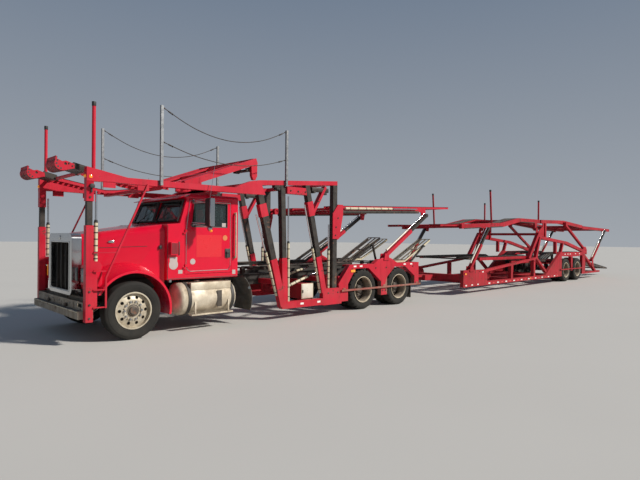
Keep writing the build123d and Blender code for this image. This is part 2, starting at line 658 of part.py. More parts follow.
deck_top_line = over_rack((post_x + half_post, 213), (353, 136), (150, 98), (-1870, 101), (-1959, 154),
                          (-2231, 252), (-2410, 282), (-4555, 444))
beam_low_line = over_rack((-4555, 354), (-2470, 194), (-2560, 10), (-1930, 2), (0, 2), (390, 10),
                          (post_x - half_post, 0), (post_x + half_post, 0))
side_beam = slab(deck_top_line + beam_low_line, side_band)
nodes["rack_posts"] = apart(twin(joined(post_solid, cylinder_clamp, gusset, rungs, ladder_rail, upper_rungs) - side_beam))
plate_top = head_deck_bottom + 11
beam_plates = [slab([(x[0], plate_top), (x[1], plate_top), (x[1], low), (x[0], low)],
                    (frame_out - 24, frame_out - 8))
               for x, low in (((525, 336), plate_top - 91), ((-13, -203), plate_top - 96))]
front_cross = rod((front_tube[0], -frame_in - 2, front_tube[1]), (front_tube[0], frame_in + 2, front_tube[1]),
                  front_tube_radius)
head_cross = [cross(x, head_deck_bottom + rise, width, height, frame_in + 2) for x, rise, width, height in
              ((-420, -15, 90, 50), (-1500, -15, 90, 50), (-2670, 257, 100, 80), (-4490, 394, 100, 80))]
head_tracks = twin(channel(over_rack((front_tube[0] - 32, 206), (178, 126), (0, 70), (-181, 43), (-423, 61),
                                     (-655, 98), (-875, 81)), track_band))
pivot_lugs = twin(slab(over_rack((-800, -40), (-1010, -40), (-1010, 90), (-960, 150), (-880, 150), (-800, 70)),
                       (track_out - 2, deck_in - 20)))
masts = twin(rod((post_x - 60, frame_in + 60, head_deck_bottom + 120),
                 (post_x - 60, frame_in + 60, head_deck_bottom + 1190), 27))
nodes["head_deck"] = joined(twin(side_beam, *beam_plates), front_cross, head_cross, head_tracks, pivot_lugs, masts,
                            twin(post_sleeve))

# Track arms ahead of the cab, each with a curled nose between cheek plates

cheek_view = over_rack((1109, 365), (1095, 318), (1026, 289), (971, 302), (858, 263), (848, 198), (950, 175),
                       (1025, 158), (1080, 172), (1112, 210), (1122, 257), (1118, 320))
cheek_bands = ((arm_band[0], arm_band[0] + track_flange), (arm_band[1] - track_flange, arm_band[1]))
cheeks = [slab(cheek_view, band) - pin(980, head_deck_bottom + 255, 20, (band[0] - 1, band[1] + 1)) for band in cheek_bands]
curl = [(arm_nose[0] + arm_nose_radius * math.cos(math.radians(a)),
         arm_nose[1] + arm_nose_radius * math.sin(math.radians(a))) for a in range(-105, 31, 15)]
arm_curl = strip(over_rack((856, 202)) + curl + over_rack((1109, 361)), 8, arm_band)
arm_tubes = [bar(*over_rack((870, 246), (664, 199)), arm_tube_depth, band) for band in
             ((arm_band[0] + 5, arm_band[0] + 65), (arm_band[1] - 70, arm_band[1] - 5))]
arm_floor_plate = bar(*over_rack((870, 206), (690, 165)), 10, (arm_band[0] + 63, arm_band[1] - 68))
track_arm = joined(cheeks, arm_curl, arm_tubes, arm_floor_plate)
nodes["head_arms"] = apart(twin(track_arm - front_cross))

# Over-cab ramp, which tilts about its front pin

ramp_run = Vector(ramp_tip[0] - ramp_pivot[0], ramp_tip[1] - ramp_pivot[1]).normalized()
ramp_angle = math.degrees(math.atan2(ramp_run.Y, -ramp_run.X))


def on_ramp(share, rise, size, y=0):
    """Box turned with the ramp, at a share of its length and raised square to it."""
    x, z = along(ramp_pivot, ramp_tip, share)
    return Pos(x + ramp_run.Y * rise, y, z - ramp_run.X * rise) * Rot(0, ramp_angle, 0) * Box(*size)


ramp_member = bar(ramp_pivot, ramp_tip, ramp_depth, (deck_in - 15, deck_in + 65))
ramp_foot = slab(over_rack((-2340, 580), (-2480, 630), (-2480, 380), (-2440, 300), (-2385, 300), (-2350, 380)),
                 (deck_in - 10, deck_in + 60))
ramp_width = 2 * deck_in - 20
ramp_cross = [on_ramp(share, 0, (90, ramp_width, 60)) for share in (0.16, 0.55, 0.96)]
ramp_length = math.dist(ramp_pivot, ramp_tip)
ramp_floor = [on_ramp(0.52, 34, (0.94 * ramp_length, track_out - track_in, 10), (track_in + track_out) / 2),
              on_ramp(0.52, 28, (0.94 * ramp_length, track_flange, 42), track_in + track_flange / 2),
              on_ramp(0.52, 28, (0.94 * ramp_length, track_flange, 42), track_out - track_flange / 2)]
end_panel = on_ramp(0.985, -10, (12, ramp_width, 150)) - [on_ramp(0.985, -10, (40, 620, 70), y) for y in (-480, 480)]
nodes["cab_ramp"] = joined(twin(ramp_member, ramp_foot, *ramp_floor), ramp_cross, end_panel) \
    - twin(pin(ramp_pivot[0], ramp_pivot[1], 20, (deck_in - 20, deck_in + 70)))
lug_pins = twin(pin(ramp_pivot[0], ramp_pivot[1], 20 - pin_gap, (deck_in - 25, deck_in + 50)))
nodes["head_deck"] = joined(nodes["head_deck"], lug_pins)

# Tower and side frames of the tractor

tower_posts = [
    # top (x, z), bottom (x, z), depth, share where the red outer tube starts, collar band of shares
    ((-2445, head_deck_bottom + 10), (-3040, 280), 130, 0.57, (0.08, 0.19)),
    ((-3000, head_deck_bottom + 230), (-3085, 280), 110, 0.60, None),
    ((-3660, head_deck_bottom + 290), (-4180, 480), 120, 0.66, (0.15, 0.28)),
]
red_tubes = []
collars = []
dark_tubes = []
for top, bottom, depth, split, collar in tower_posts:
    red_tubes.append(bar(along(top, bottom, split), bottom, depth + 20, side_band))
    whole = bar(top, along(top, bottom, split), depth, side_band)
    if collar:
        sleeve = bar(along(top, bottom, collar[0]), along(top, bottom, collar[1]), depth + 40, side_band)
        collars.append(sleeve)
        whole = whole - sleeve
    dark_tubes.append(whole)
rear_post = block((-4555, -4425), side_band, (560, head_deck_bottom + 380))
dark_tubes.append(rear_post)
brace = bar(*over_rack((-4200, 290), (-3830, -310)), 60, side_band)
low_rail = slab([(-3000, 225), (-4200, 215), (-4200, 355), (-3000, 365)], side_band)
tower_foot = slab([(-4140, 200), (-4720, 200), (-4720, 545), (-4600, 560), (-4140, 560)], side_band)
bracket = block((-3680, -3110), side_band, (head_deck_bottom + 75, head_deck_bottom + 220))
wheel_panel = slab([
    (-4700, 240), (-4620, 640), (-4980, 1050), (-7660, 1050), (-7660, 500), (-7480, 500), (-7480, 700),
    (-7070, 960), (-6640, 960), (-6340, 720), (-6340, 290), (-6110, 290), (-6110, 620),
    (-5640, 960), (-5180, 960), (-4930, 620), (-4930, 240)], side_band)
pedestal = slab([(-5820, 1049), (-6020, 1160), (-6440, 1160), (-6560, 1049)], side_band)
rub_rail = block((-7690, -4690), rub_band, (465, 505))
rub_feet = [block((x - 40, x + 40), (frame_out - 2, rub_band[0] + 2), (465, 540)) for x in (-7570, -6220, -4800)]
panel_top = block((-7660, -4980), (deck_in, frame_in + 2), (1010, 1050))
outriggers = [block((x - 70, x + 70), (rail_out + face_gap, frame_in + 2), band) for x, band in
              ((-3050, (700, 800)), (-4300, (700, 800)), (-6140, (700, 800)), (-7560, (700, 800)))]
low_outriggers = [block((x - 60, x + 60), (rail_out + face_gap, frame_in + 2), (rail_bottom, 800))
                  for x in (-4780,)]
foot_ties = [block((x - 50, x + 50), (frame_in - 60, frame_in + 2), (300, 760)) for x in (-3050, -4300)]
deck_hanger = joined(slab([(-4400, 1640), (-4400, 2200), (-4560, 2400), (-4720, 2400), (-4720, 2180),
                           (-4600, 1640)], (frame_out, frame_out + 24)),
                     pin(rear_deck_pin[0], rear_deck_pin[1], 30 - pin_gap, (deck_in + 20, frame_out + 24)))
ear_span = (frame_in - 18, frame_out + 22)
ear_bands = ((ear_span[0], ear_span[0] + 16), (ear_span[1] - 16, ear_span[1]))
arm_pins = pin(rear_arm_foot[0], rear_arm_foot[1], 28 - pin_gap, ear_span)
arm_ears = joined([slab([(-6200, 1150), (-6230, 1290), (-6370, 1290), (-6400, 1150)], band) for band in ear_bands],
                  block((-6400, -6200), ear_span, (1130, 1160)))
nodes["side_frames"] = joined(
    twin(*red_tubes), twin(low_rail, tower_foot, wheel_panel, pedestal, rub_rail, *rub_feet,
                           panel_top, *outriggers, *low_outriggers, *foot_ties),
    twin(arm_pins, arm_ears)) - twin(side_beam, *dark_tubes)
collar_pieces = joined(collars, brace, bracket, deck_hanger) - joined(side_beam, dark_tubes)
nodes["tower_collars"] = apart(twin(collar_pieces))
front_inner = block((post_x - 42, post_x + 42), (frame_in + 12, frame_out - 18), (post_lower_top, post_sleeve_bottom))
nodes["inner_posts"] = apart(twin(front_inner, *[tube - side_beam for tube in dark_tubes]))

cylinder_y = (frame_in + frame_out) / 2
cylinder_pieces = []
for foot, head, share in post_cylinder_table:
    middle = along(foot, head, share)
    barrel = rod((foot[0], cylinder_y, foot[1]), (middle[0], cylinder_y, middle[1]), 34)
    stem = rod((foot[0], cylinder_y, foot[1]), (head[0], cylinder_y, head[1]), 22)
    cylinder_pieces.append(joined(barrel, stem))
keep_out = joined(twin(side_beam)[0], red_tubes, collars, [brace, low_rail, tower_foot, bracket], dark_tubes,
                  [post_solid, post_sleeve, cylinder_clamp])
cylinder_pieces = [piece - keep_out for piece in cylinder_pieces]
nodes["post_cylinders"] = apart(twin(*cylinder_pieces))

# Lower loading tracks of the tractor

track_line = [(-2480, 1070), (-5250, 1090), (-6400, 1690)]
rear_track_line = [(-6460, 1100), (-7420, 1100), (-8600, 1660)]
track_solids = twin(channel(track_line, track_band), channel(rear_track_line, track_band))
track_feet = twin(*[block((x - 40, x + 40), rail_band, (rail_top, z)) for x, z in
                    ((-2600, 1020), (-3700, 1025), (-4800, 1035), (-6600, 1045), (-7300, 1045))])
track_ties = [block((x - 40, x + 40), (-track_out, track_out), (1015, 1040)) for x in (-2600, -3700, -4800)] \
    + [block((x - 40, x + 40), (-track_out, track_out), (1015, 1042)) for x in (-6600, -7300)]
prop = twin(bar((-6080, 1500), (-6220, 1051), 40, (deck_in - 40, deck_in)),
            bar((-8250, 1480), (-7640, 1051), 40, (deck_in - 40, deck_in)))
prop_tie = twin(block((-6110, -6050), (track_out - 2, deck_in), (1470, 1500)),
                block((-8290, -8210), (track_out - 2, deck_in), (1440, 1480)))
nodes["loading_tracks"] = joined(track_solids, track_feet, track_ties, prop, prop_tie) \
    - nodes["side_frames"]

# Rear upper deck of the tractor, which tilts about its front pins

rear_top = [(-4600, 2375), (-8150, 2520)]
rear_deck_beam = deep_line(rear_top, 130, deck_band) - pin(rear_deck_pin[0], rear_deck_pin[1], 30, (deck_in - 5, deck_out + 5))
rear_eye = ring(rear_deck_pin[0], rear_deck_pin[1], 75, 30, deck_band)
rear_tracks = channel([(-4800, 2400), (-9520, 2600)], track_band)
rear_cross = [cross(x, 2330 - (x + 4665) * 0.0408, 90, 60, deck_in + 2) for x in (-4900, -6100, -7300, -8080)]
tail_cross = [cross(x, 2535 - (x + 8700) * 0.0424, 80, 50, track_out) for x in (-8900, -9450)]
head_lug = slab([(-7950, 2400), (-7990, 2215), (-8110, 2215), (-8150, 2400)], (deck_out - 30, deck_out))
nodes["rear_deck"] = joined(twin(rear_deck_beam, rear_eye, rear_tracks, head_lug), rear_cross, tail_cross)


def arm_pair(foot, head, depth, share, lap):
    """Telescopic arm: hollow square barrel at its foot pin, and the rod that laps it and ends in its head eye."""
    band = arm_band_out
    mouth = along(foot, head, share)
    bottom = along(foot, head, arm_floor)
    hollow = bar(bottom, along(foot, head, share + 0.02), depth - 20, (band[0] + 10, band[1] - 10))
    barrel = joined(bar(along(foot, head, 0.01), mouth, depth, band), pin(foot[0], foot[1], depth / 2, band)) - hollow
    barrel = barrel - pin(foot[0], foot[1], arm_eye, (band[0] - 1, band[1] + 1))
    inset = 10 + slide_gap
    stem = bar(along(foot, head, share - lap), head, depth - 2 * inset, (band[0] + inset, band[1] - inset))
    boss = pin(head[0], head[1], depth / 2 + 4, (band[0] + inset, band[1] - inset))
    head_pin = pin(head[0], head[1], 25, (deck_out + face_gap, band[0] + inset + 5))
    return twin(barrel), twin(joined(stem, boss, head_pin))


arm_band_out = (frame_in + 3, frame_out + 2)
arm_floor = 0.14
arm_eye = 28
barrels, stems = arm_pair(rear_arm_foot, rear_arm_head, 90, 0.60, 0.28)
nodes["rear_arm_barrels"] = apart(barrels)
nodes["rear_arm_rods"] = apart(stems)

# Line posts and safety lines

line_band = (frame_out + 1, frame_out + 1 + line_post_width)
line_post_table = [
    # x, bottom z
    (-395, head_deck_bottom + 20),
    (-3060, head_deck_bottom + 220),
]
line_posts = []
for x, low in line_post_table:
    line_posts.append(block((x - line_post_width / 2, x + line_post_width / 2), line_band, (low, line_post_top)))
    line_posts.append(block((x - 35, x + 35), (frame_out, frame_out + 1.5), (low + 10, low + 80)))
nodes["line_posts"] = apart(twin(joined(*line_posts[:2]), joined(*line_posts[2:])))
line_table = [
    # name, height at the posts, lowest height
    ("upper", line_post_top - 35, line_post_top - 410),
    ("lower", line_post_top - 595, line_post_top - 835),
]
line_y = frame_out + 1 + line_post_width / 2
shares = (0, 0.12, 0.26, 0.42, 0.58, 0.74, 0.88, 1)
for name, high, low in line_table:
    first = line_post_table[0][0] - line_post_width / 2
    last = line_post_table[1][0] + line_post_width / 2
    span = first - last
    slope = 4 * (high - low) * (1 - shares[1]) / span
    setback = line_radius * slope + face_gap
    first -= setback
    last += setback
    span = first - last
    points = [(first - span * s, line_y, high - (high - low) * 4 * s * (1 - s)) for s in shares]
    runs = [math.dist(a, b) for a, b in zip(points, points[1:])]
    radii = []
    for i in range(1, len(points) - 1):
        before = Vector(*points[i]) - Vector(*points[i - 1])
        after = Vector(*points[i + 1]) - Vector(*points[i])
        turn = math.radians(before.get_angle(after))
        radii.append(0.45 * min(runs[i - 1], runs[i]) / math.tan(turn / 2))
    print(name, "line arc radii:", [round(r) for r in radii])
    path = FilletPolyline(*points, radius=radii)
    section = Plane(origin=points[0], z_dir=(path % 0)) * Circle(line_radius)
    line = sweep(section, path=path)
    nodes[f"safety_line_{name}_left"] = line
    nodes[f"safety_line_{name}_right"] = mirror(line, about=Plane.XZ)

# Trailer frame

eye_plate = rod((pivot_x, 0, hitch_height + face_gap), (pivot_x, 0, hitch_height + tongue_thickness), 130)
tongue = joined(eye_plate,
                block((-10100, -9060), (-110, 110), (hitch_height + 40, hitch_height + tongue_thickness)),
                block((-10100, -9500), (-200, 200), (hitch_height - 60, hitch_height + tongue_thickness)))
tongue_bore = rod((pivot_x, 0, 300), (pivot_x, 0, 900), hitch_pin_radius + pin_gap)
front_box = slab([(-9940, 230), (-9940, 740), (-11250, 720), (-11380, 560), (-11380, 230)], side_band)
lower_rail = block((-17310, -11300), side_band, (230, 350))
chord = bar((-11250, 675), (-15050, 1000), 75, side_band)
inner_beam = bar((-11100, 1050), (-14650, 1035), 90, (deck_out - 60, frame_in + 2))
uprights = [block((x - 65, x + 65), side_band, (300, z)) for x, z in ((-13100, 820), (-14900, 980))]
a_leg = bar((-14480, 1000), (-15290, 1900), 130, side_band)
a_leg_rear = bar((-15060, 1000), (-15420, 1800), 120, side_band)
top_chord = [bar((-15250, 1860), (-15700, 1740), 130, side_band),
             bar((-15640, 1745), (-18000, 1560), 110, side_band),
             bar((-17960, 1560), (-20050, 1190), 120, side_band)]
belly_brace = bar((-15100, 1010), (-15960, 470), 90, side_band)
side_panel = slab([(-15850, 230), (-17470, 230), (-17470, 1210), (-17380, 1210), (-15850, 330)], side_band)
strut = bar((-17430, 1180), (-17640, 1580), 90, side_band)
fender_band = slab([(-17380, 1180), (-19800, 1180), (-20080, 1130), (-20080, 1000), (-19650, 1040),
                    (-19080, 1000), (-18640, 1000), (-18620, 420), (-18480, 420), (-18450, 1000),
                    (-17500, 1030)], side_band)
trailer_rub = joined(block((-19790, -17270), rub_band, (480, 516)),
                     [block((x - 30, x + 30), (frame_out - 2, rub_band[0] + 2), (480, 516))
                      for x in (-19755, -18550, -17400)])
rear_panel = slab([(-19720, 230), (-20120, 230), (-20120, 800), (-20060, 1130), (-19760, 1130), (-19760, 700)],
                  side_band)
rear_diag = bar((-19980, 1060), (-21500, 290), 90, side_band)
rear_low_rail = block((-22000, -20000), side_band, (230, 305))
stay = bar((-20060, 1320), (-17950, 2290), 85, (frame_in, frame_out - 20))
stay_foot = slab([(-19760, 1180), (-20300, 1060), (-20300, 1260), (-20150, 1400), (-19900, 1380)], side_band)
trailer_cross = [cross(x, z, w, h, frame_in + 2) for x, z, w, h in (
    (-10020, 520, 140, 160), (-11340, 300, 100, 120), (-13100, 300, 100, 120), (-14900, 300, 100, 120),
    (-16600, 300, 100, 120), (-18550, 760, 90, 120), (-20050, 760, 100, 120), (-21450, 270, 90, 70))]
mast_cross = [cross(-15330, 1880, 90, 90, frame_in + 2)]
rear_mid_post = block((-16950, -16850), side_band, (1150, 1700))
trailer_rails = twin(block((-20300, -16500), rail_band, (rail_bottom, 800)))
rail_drop = twin(slab([(-16500, 680), (-16500, 800), (-16700, 800), (-16700, 240), (-16560, 240)], rail_band),
                 block((-16600, -11340), rail_band, (240, 360)))
fixed_deck = twin(deep_line([(-15780, 2430), (-18000, 2470), (-20120, 2330)], 130, deck_band),
                  channel([(-15780, 2440), (-18000, 2480), (-20120, 2340)], track_band))
fixed_cross = [cross(x, z, 90, 70, deck_in + 2) for x, z in ((-15900, 2370), (-18000, 2400), (-20020, 2280))]
deck_props = twin(bar((-16050, 1700), (-16050, 2310), 110, (deck_out - 40, frame_in + 40)),
                  block((-18080, -17920), (deck_out - 2, frame_out - 20), (2250, 2400)),
                  slab([(-15400, 1950), (-15850, 2180), (-15850, 2310), (-15950, 2310), (-16000, 1700),
                        (-15700, 1700)], (deck_out + running_gap, frame_in + 2)))
pin_ears = joined(slab([(-15210, 1850), (-15210, 2060), (-15260, 2120), (-15340, 2120), (-15390, 2060),
                      (-15390, 1850)], (frame_in, frame_in + 20)),
                pin(front_deck_pin[0], front_deck_pin[1], 30 - pin_gap, (deck_in, frame_in + 10)))
tail_ears = twin(slab([(-20000, 2330), (-20000, 2200), (-20130, 2140), (-20230, 2140), (-20230, 2240),
                       (-20110, 2330)], (deck_in - 20, deck_in - 4)),
                 pin(tail_deck_pin[0], tail_deck_pin[1], 25 - pin_gap, (deck_in - 12, deck_out)))
front_ears = [slab([(-10280, 700), (-10320, 850), (-10480, 850), (-10520, 700)], band) for band in ear_bands]
front_arm_seat = joined(pin(front_arm_foot[0], front_arm_foot[1], 28 - pin_gap, ear_span), front_ears,
                        block((-10520, -10280), ear_span, (690, 728)))
tail_arm_ears = [slab([(-20880, 560), (-20930, 830), (-21070, 830), (-21120, 440)], band) for band in ear_bands]
tail_arm_seat = joined(pin(tail_arm_foot[0], tail_arm_foot[1], 28 - pin_gap, ear_span), tail_arm_ears,
                       block((-21110, -20900), ear_span, (520, 580)))
ramp_ears = twin(slab([(-20300, 680), (-20300, 800), (-20100, 800), (-20100, 680)], (rail_in, rail_out)))
ramp_pin_bar = joined(pin(tail_ramp_pin[0], tail_ramp_pin[1], 25 - pin_gap, (-track_out, track_out)),
                      twin(slab([(-20280, 760), (-20280, 690), (-20440, 670), (-20450, 730)], rail_band)))
nodes["trailer_sides"] = apart(
    twin(joined(front_box, lower_rail, chord, inner_beam, uprights, a_leg, a_leg_rear, top_chord, belly_brace,
                side_panel, strut, fender_band, trailer_rub, rear_panel, rear_diag, rear_low_rail, stay_foot,
                stay, rear_mid_post, pin_ears, front_arm_seat, tail_arm_seat)))
nodes["trailer_frame"] = joined(tongue, trailer_cross, mast_cross, trailer_rails, rail_drop, ramp_ears,
                                ramp_pin_bar) - tongue_bore - nodes["trailer_sides"]
nodes["trailer_mid_deck"] = joined(fixed_deck, fixed_cross, deck_props, tail_ears) - nodes["trailer_sides"]
nodes["trailer_axles"] = apart(*[axle_tube(x, False) for x in trailer_axles])

trailer_track_lines = [
    # top line of (x, z) points
    [(-10650, 1105), (-14700, 1105), (-15300, 900), (-16500, 900), (-17300, 1180), (-19900, 1180),
     (-20200, 1000)],
]
trailer_tracks = twin(*[channel(line, track_band) for line in trailer_track_lines])
trailer_ties = [cross(x, 1032, 80, 40, deck_out - 58) for x in (-11200, -13000, -14500)]
tie_legs = twin(block((-18590, -18510), rail_band, (820, 1120)), block((-16540, -16460), rail_band, (800, 850)))
track_cross = [cross(-18550, 1100, 80, 50, track_out), cross(-16500, 840, 80, 40, track_out)]
nodes["trailer_tracks"] = joined(trailer_tracks, trailer_ties, tie_legs, track_cross) \
    - nodes["trailer_frame"] - nodes["trailer_sides"]

# Front upper deck of the trailer

front_line = [(-9120, 2100), (-10300, 2120), (-12700, 2230), (-13900, 2430), (-15650, 2430)]
front_deck_beam = deep_line([(-10050, 2120), (-12700, 2230), (-13900, 2430), (-15650, 2430)], 140, deck_band)
front_tracks = channel(front_line, track_band)
front_cross_bars = [cross(x, z, 90, 60, deck_in + 2) for x, z in
                    ((-10150, 2040), (-11600, 2105), (-12700, 2150), (-13900, 2350), (-15200, 2330))]
nose_cross = [cross(-9200, 2060, 80, 50, track_out)]
deck_ear = slab([(-15200, 2300), (-15230, 2010), (-15370, 2010), (-15400, 2300)], (deck_in + 30, deck_out))
deck_ear = deck_ear - pin(front_deck_pin[0], front_deck_pin[1], 30, (deck_in, deck_out + 5))
front_masts = rod((-11920, deck_out - 20, 2150), (-11820, deck_out - 20, 3270), 30)
rear_masts = rod((-15560, deck_out - 20, 2350), (-15560, deck_out - 20, 3140), 30)
front_lug = slab([(-11400, 2110), (-11440, 1935), (-11560, 1935), (-11600, 2110)], (deck_out - 30, deck_out))
nodes["trailer_front_deck"] = joined(twin(front_deck_beam, front_tracks, deck_ear, front_masts, rear_masts, front_lug),
                                     front_cross_bars, nose_cross)
barrels, stems = arm_pair(front_arm_foot, front_arm_head, 86, 0.58, 0.28)
nodes["front_arm_barrels"] = apart(barrels)
nodes["front_arm_rods"] = apart(stems)

# Tail deck of the trailer

tail_deck_beam = deep_line([(-20140, 2290), (-22800, 2250), (-23780, 2230)], 120, deck_band)
tail_deck_beam = tail_deck_beam - pin(tail_deck_pin[0], tail_deck_pin[1], 25, (deck_in - 5, deck_out + 5))
tail_tracks = channel([(-20200, 2320), (-22800, 2270), (-23800, 2250)], track_band)
tail_cross_bars = [cross(x, z, 80, 60, deck_in + 2) for x, z in ((-20700, 2240), (-22300, 2215), (-23700, 2190))]
tail_lug = slab([(-22700, 2200), (-22740, 2070), (-22860, 2070), (-22900, 2200)], (deck_out - 30, deck_out))
nodes["tail_deck"] = joined(twin(tail_deck_beam, tail_tracks, tail_lug), tail_cross_bars)
barrels, stems = arm_pair(tail_arm_foot, tail_arm_head, 86, 0.55, 0.10)
nodes["tail_arm_barrels"] = apart(barrels)
nodes["tail_arm_rods"] = apart(stems)

# Rear ramp

ramp_view = [(-20350, 760), (-20350, 640), (tail_x, 290), (tail_x, 350), (-22500, 560), (-20600, 800)]
ramp_track = joined([slab(ramp_view, edge) for edge in ((track_in, track_in + 40), (track_out - 40, track_out))],
                    deep_line([(-20440, 782), (-20600, 800), (-22500, 560), (tail_x, 350)], 12, track_band),
                    block((-20480, -20350), track_band, (645, 755)), block((tail_x, tail_x + 60), track_band, (295, 345)))
ramp_hole = pin(tail_ramp_pin[0], tail_ramp_pin[1], 25, (track_in - 5, track_out + 5))
ramp_ties = [block((x - 40, x + 40), (-track_in - 2, track_in + 2), (z - 30, z + 30)) for x, z in
             ((-20900, 670), (-22400, 500), (-23900, 320))]
nodes["rear_ramp"] = joined(twin(ramp_track - ramp_hole), ramp_ties)

shift = Pos(-origin_x, 0, 0)
for name, shape in nodes.items():
    export_step(shift * shape, f"parts/{name}.step")
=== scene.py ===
"""Looks of an articulated car transporter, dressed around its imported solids.

Lengths are metres. Shapes are modelled with X from the front axle, and settle() moves them to the frame.
"""
import json
import logging
import math
from dataclasses import dataclass
from enum import Enum
from functools import cache
from typing import Iterable, Sequence

import bmesh
import bpy
from mathutils import Matrix, Vector

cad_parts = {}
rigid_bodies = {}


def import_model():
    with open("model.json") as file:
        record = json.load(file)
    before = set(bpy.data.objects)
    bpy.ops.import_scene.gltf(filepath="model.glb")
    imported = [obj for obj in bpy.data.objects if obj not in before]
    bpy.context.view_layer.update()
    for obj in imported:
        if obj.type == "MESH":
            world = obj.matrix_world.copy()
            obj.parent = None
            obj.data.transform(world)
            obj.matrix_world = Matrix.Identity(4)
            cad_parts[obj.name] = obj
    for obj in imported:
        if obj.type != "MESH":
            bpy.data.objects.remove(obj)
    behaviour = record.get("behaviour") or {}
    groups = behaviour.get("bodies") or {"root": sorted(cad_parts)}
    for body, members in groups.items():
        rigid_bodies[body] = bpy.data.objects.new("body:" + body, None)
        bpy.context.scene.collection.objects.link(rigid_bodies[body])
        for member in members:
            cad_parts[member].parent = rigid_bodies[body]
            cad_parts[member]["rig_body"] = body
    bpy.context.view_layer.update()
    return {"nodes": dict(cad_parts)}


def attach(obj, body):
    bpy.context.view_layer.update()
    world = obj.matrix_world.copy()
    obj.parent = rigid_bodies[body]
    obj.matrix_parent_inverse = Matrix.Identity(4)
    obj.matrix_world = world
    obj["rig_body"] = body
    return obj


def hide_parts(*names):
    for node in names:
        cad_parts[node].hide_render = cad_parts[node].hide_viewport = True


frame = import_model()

log = logging.getLogger("transporter")
AXLE_X = 11.435
AXLE_Z = 0.465
DRIVE_X = (-5.46, -6.815)
TRAILER_X = (-17.95, -19.2)
STEER_Y = 1.0425
DUAL_Y = 0.9675
SMOOTH_ANGLE = math.radians(32)
QUARTER = math.radians(90)
OUTWARD = (0, 1, 0)
SIDES = (("left", 1), ("right", -1))
DOOR = "cab_door_{}"
Point = Sequence[float]
Colour = tuple[float, float, float]


# Shader effects

class Effect(Enum):
    """Weathering effects that several finishes share, each a node group with a Mask output."""

    ROAD_DUST = "road_dust"
    PAINT_CHIPS = "paint_chips"
    RAIN_STREAKS = "rain_streaks"
    MOTTLE = "mottle"


class Wires:
    """Short calls that add nodes to a tree and join them."""

    def __init__(self, tree: bpy.types.NodeTree) -> None:
        """Work on a tree.

        Args:
            tree: The tree that the nodes go to.
        """
        self.tree = tree

    def join(self, value: object, socket: bpy.types.NodeSocket) -> None:
        """Link a socket to another, or set its constant.

        Args:
            value: An output socket, or a number or colour.
            socket: The input to feed.
        """
        if isinstance(value, bpy.types.NodeSocket):
            self.tree.links.new(value, socket)
        else:
            socket.default_value = value

    def noise(self, place: object, scale: object, detail: float, rough: float) -> bpy.types.NodeSocket:
        """Add a noise texture.

        Args:
            place: Position to read.
            scale: Its scale.
            detail: Number of octaves.
            rough: Weight of the finer octaves.

        Returns:
            The noise value, about 0.5 on average.
        """
        node = self.tree.nodes.new("ShaderNodeTexNoise")
        for name, value in (("Vector", place), ("Scale", scale), ("Detail", detail), ("Roughness", rough)):
            self.join(value, node.inputs[name])
        return node.outputs[0]

    def split(self, vector: object, axis: str) -> bpy.types.NodeSocket:
        """Give one axis of a vector.

        Args:
            vector: The vector.
            axis: X, Y or Z.

        Returns:
            Its value.
        """
        node = self.tree.nodes.new("ShaderNodeSeparateXYZ")
        self.join(vector, node.inputs[0])
        return node.outputs[axis]

    def calc(self, operation: str, first: object, second: object) -> bpy.types.NodeSocket:
        """Add a calculation on two values.

        Args:
            operation: Blender's name of it.
            first: First value.
            second: Second value.

        Returns:
            The result.
        """
        node = self.tree.nodes.new("ShaderNodeMath")
        node.operation = operation
        self.join(first, node.inputs[0])
        self.join(second, node.inputs[1])
        return node.outputs[0]

    def times(self, first: object, second: object) -> bpy.types.NodeSocket:
        """Multiply two values.

        Args:
            first: First value.
            second: Second value.

        Returns:
            Their product.
        """
        return self.calc("MULTIPLY", first, second)

    def remap(self, value: object, low: float, high: float, to_low: float = 0.0,
              to_high: float = 1.0) -> bpy.types.NodeSocket:
        """Map a value from one range to another, held at its ends.

        Args:
            value: The value.
            low: Start of its range.
            high: End of its range.
            to_low: What low becomes.
            to_high: What high becomes.

        Returns:
            The mapped value.
        """
        node = self.tree.nodes.new("ShaderNodeMapRange")
        self.join(value, node.inputs["Value"])
        for name, number in (("From Min", low), ("From Max", high), ("To Min", to_low), ("To Max", to_high)):
            node.inputs[name].default_value = number
        return node.outputs[0]

    def blend(self, share: object, first: object, second: object) -> bpy.types.NodeSocket:
        """Mix two colours.

        Args:
            share: How much of the second.
            first: First colour.
            second: Second colour.

        Returns:
            The mixed colour.
        """
        node = self.tree.nodes.new("ShaderNodeMix")
        node.data_type = "RGBA"
        self.join(share, node.inputs[0])
        for value, socket in ((first, node.inputs[6]), (second, node.inputs[7])):
            self.join((*value, 1.0) if isinstance(value, tuple) else value, socket)
        return node.outputs[2]

    def mask(self, effect: Effect, position: object, scale: float, amount: float) -> bpy.types.NodeSocket:
        """Place an effect's group and give its mask.

        Args:
            effect: The effect.
            position: Position to read.
            scale: Scale of its pattern.
            amount: How strong it is.

        Returns:
            The mask, from 0 to 1.
        """
        node = self.tree.nodes.new("ShaderNodeGroup")
        node.node_tree = effect_group(effect)
        for name, value in (("Position", position), ("Scale", scale), ("Amount", amount)):
            self.join(value, node.inputs[name])
        return node.outputs["Mask"]


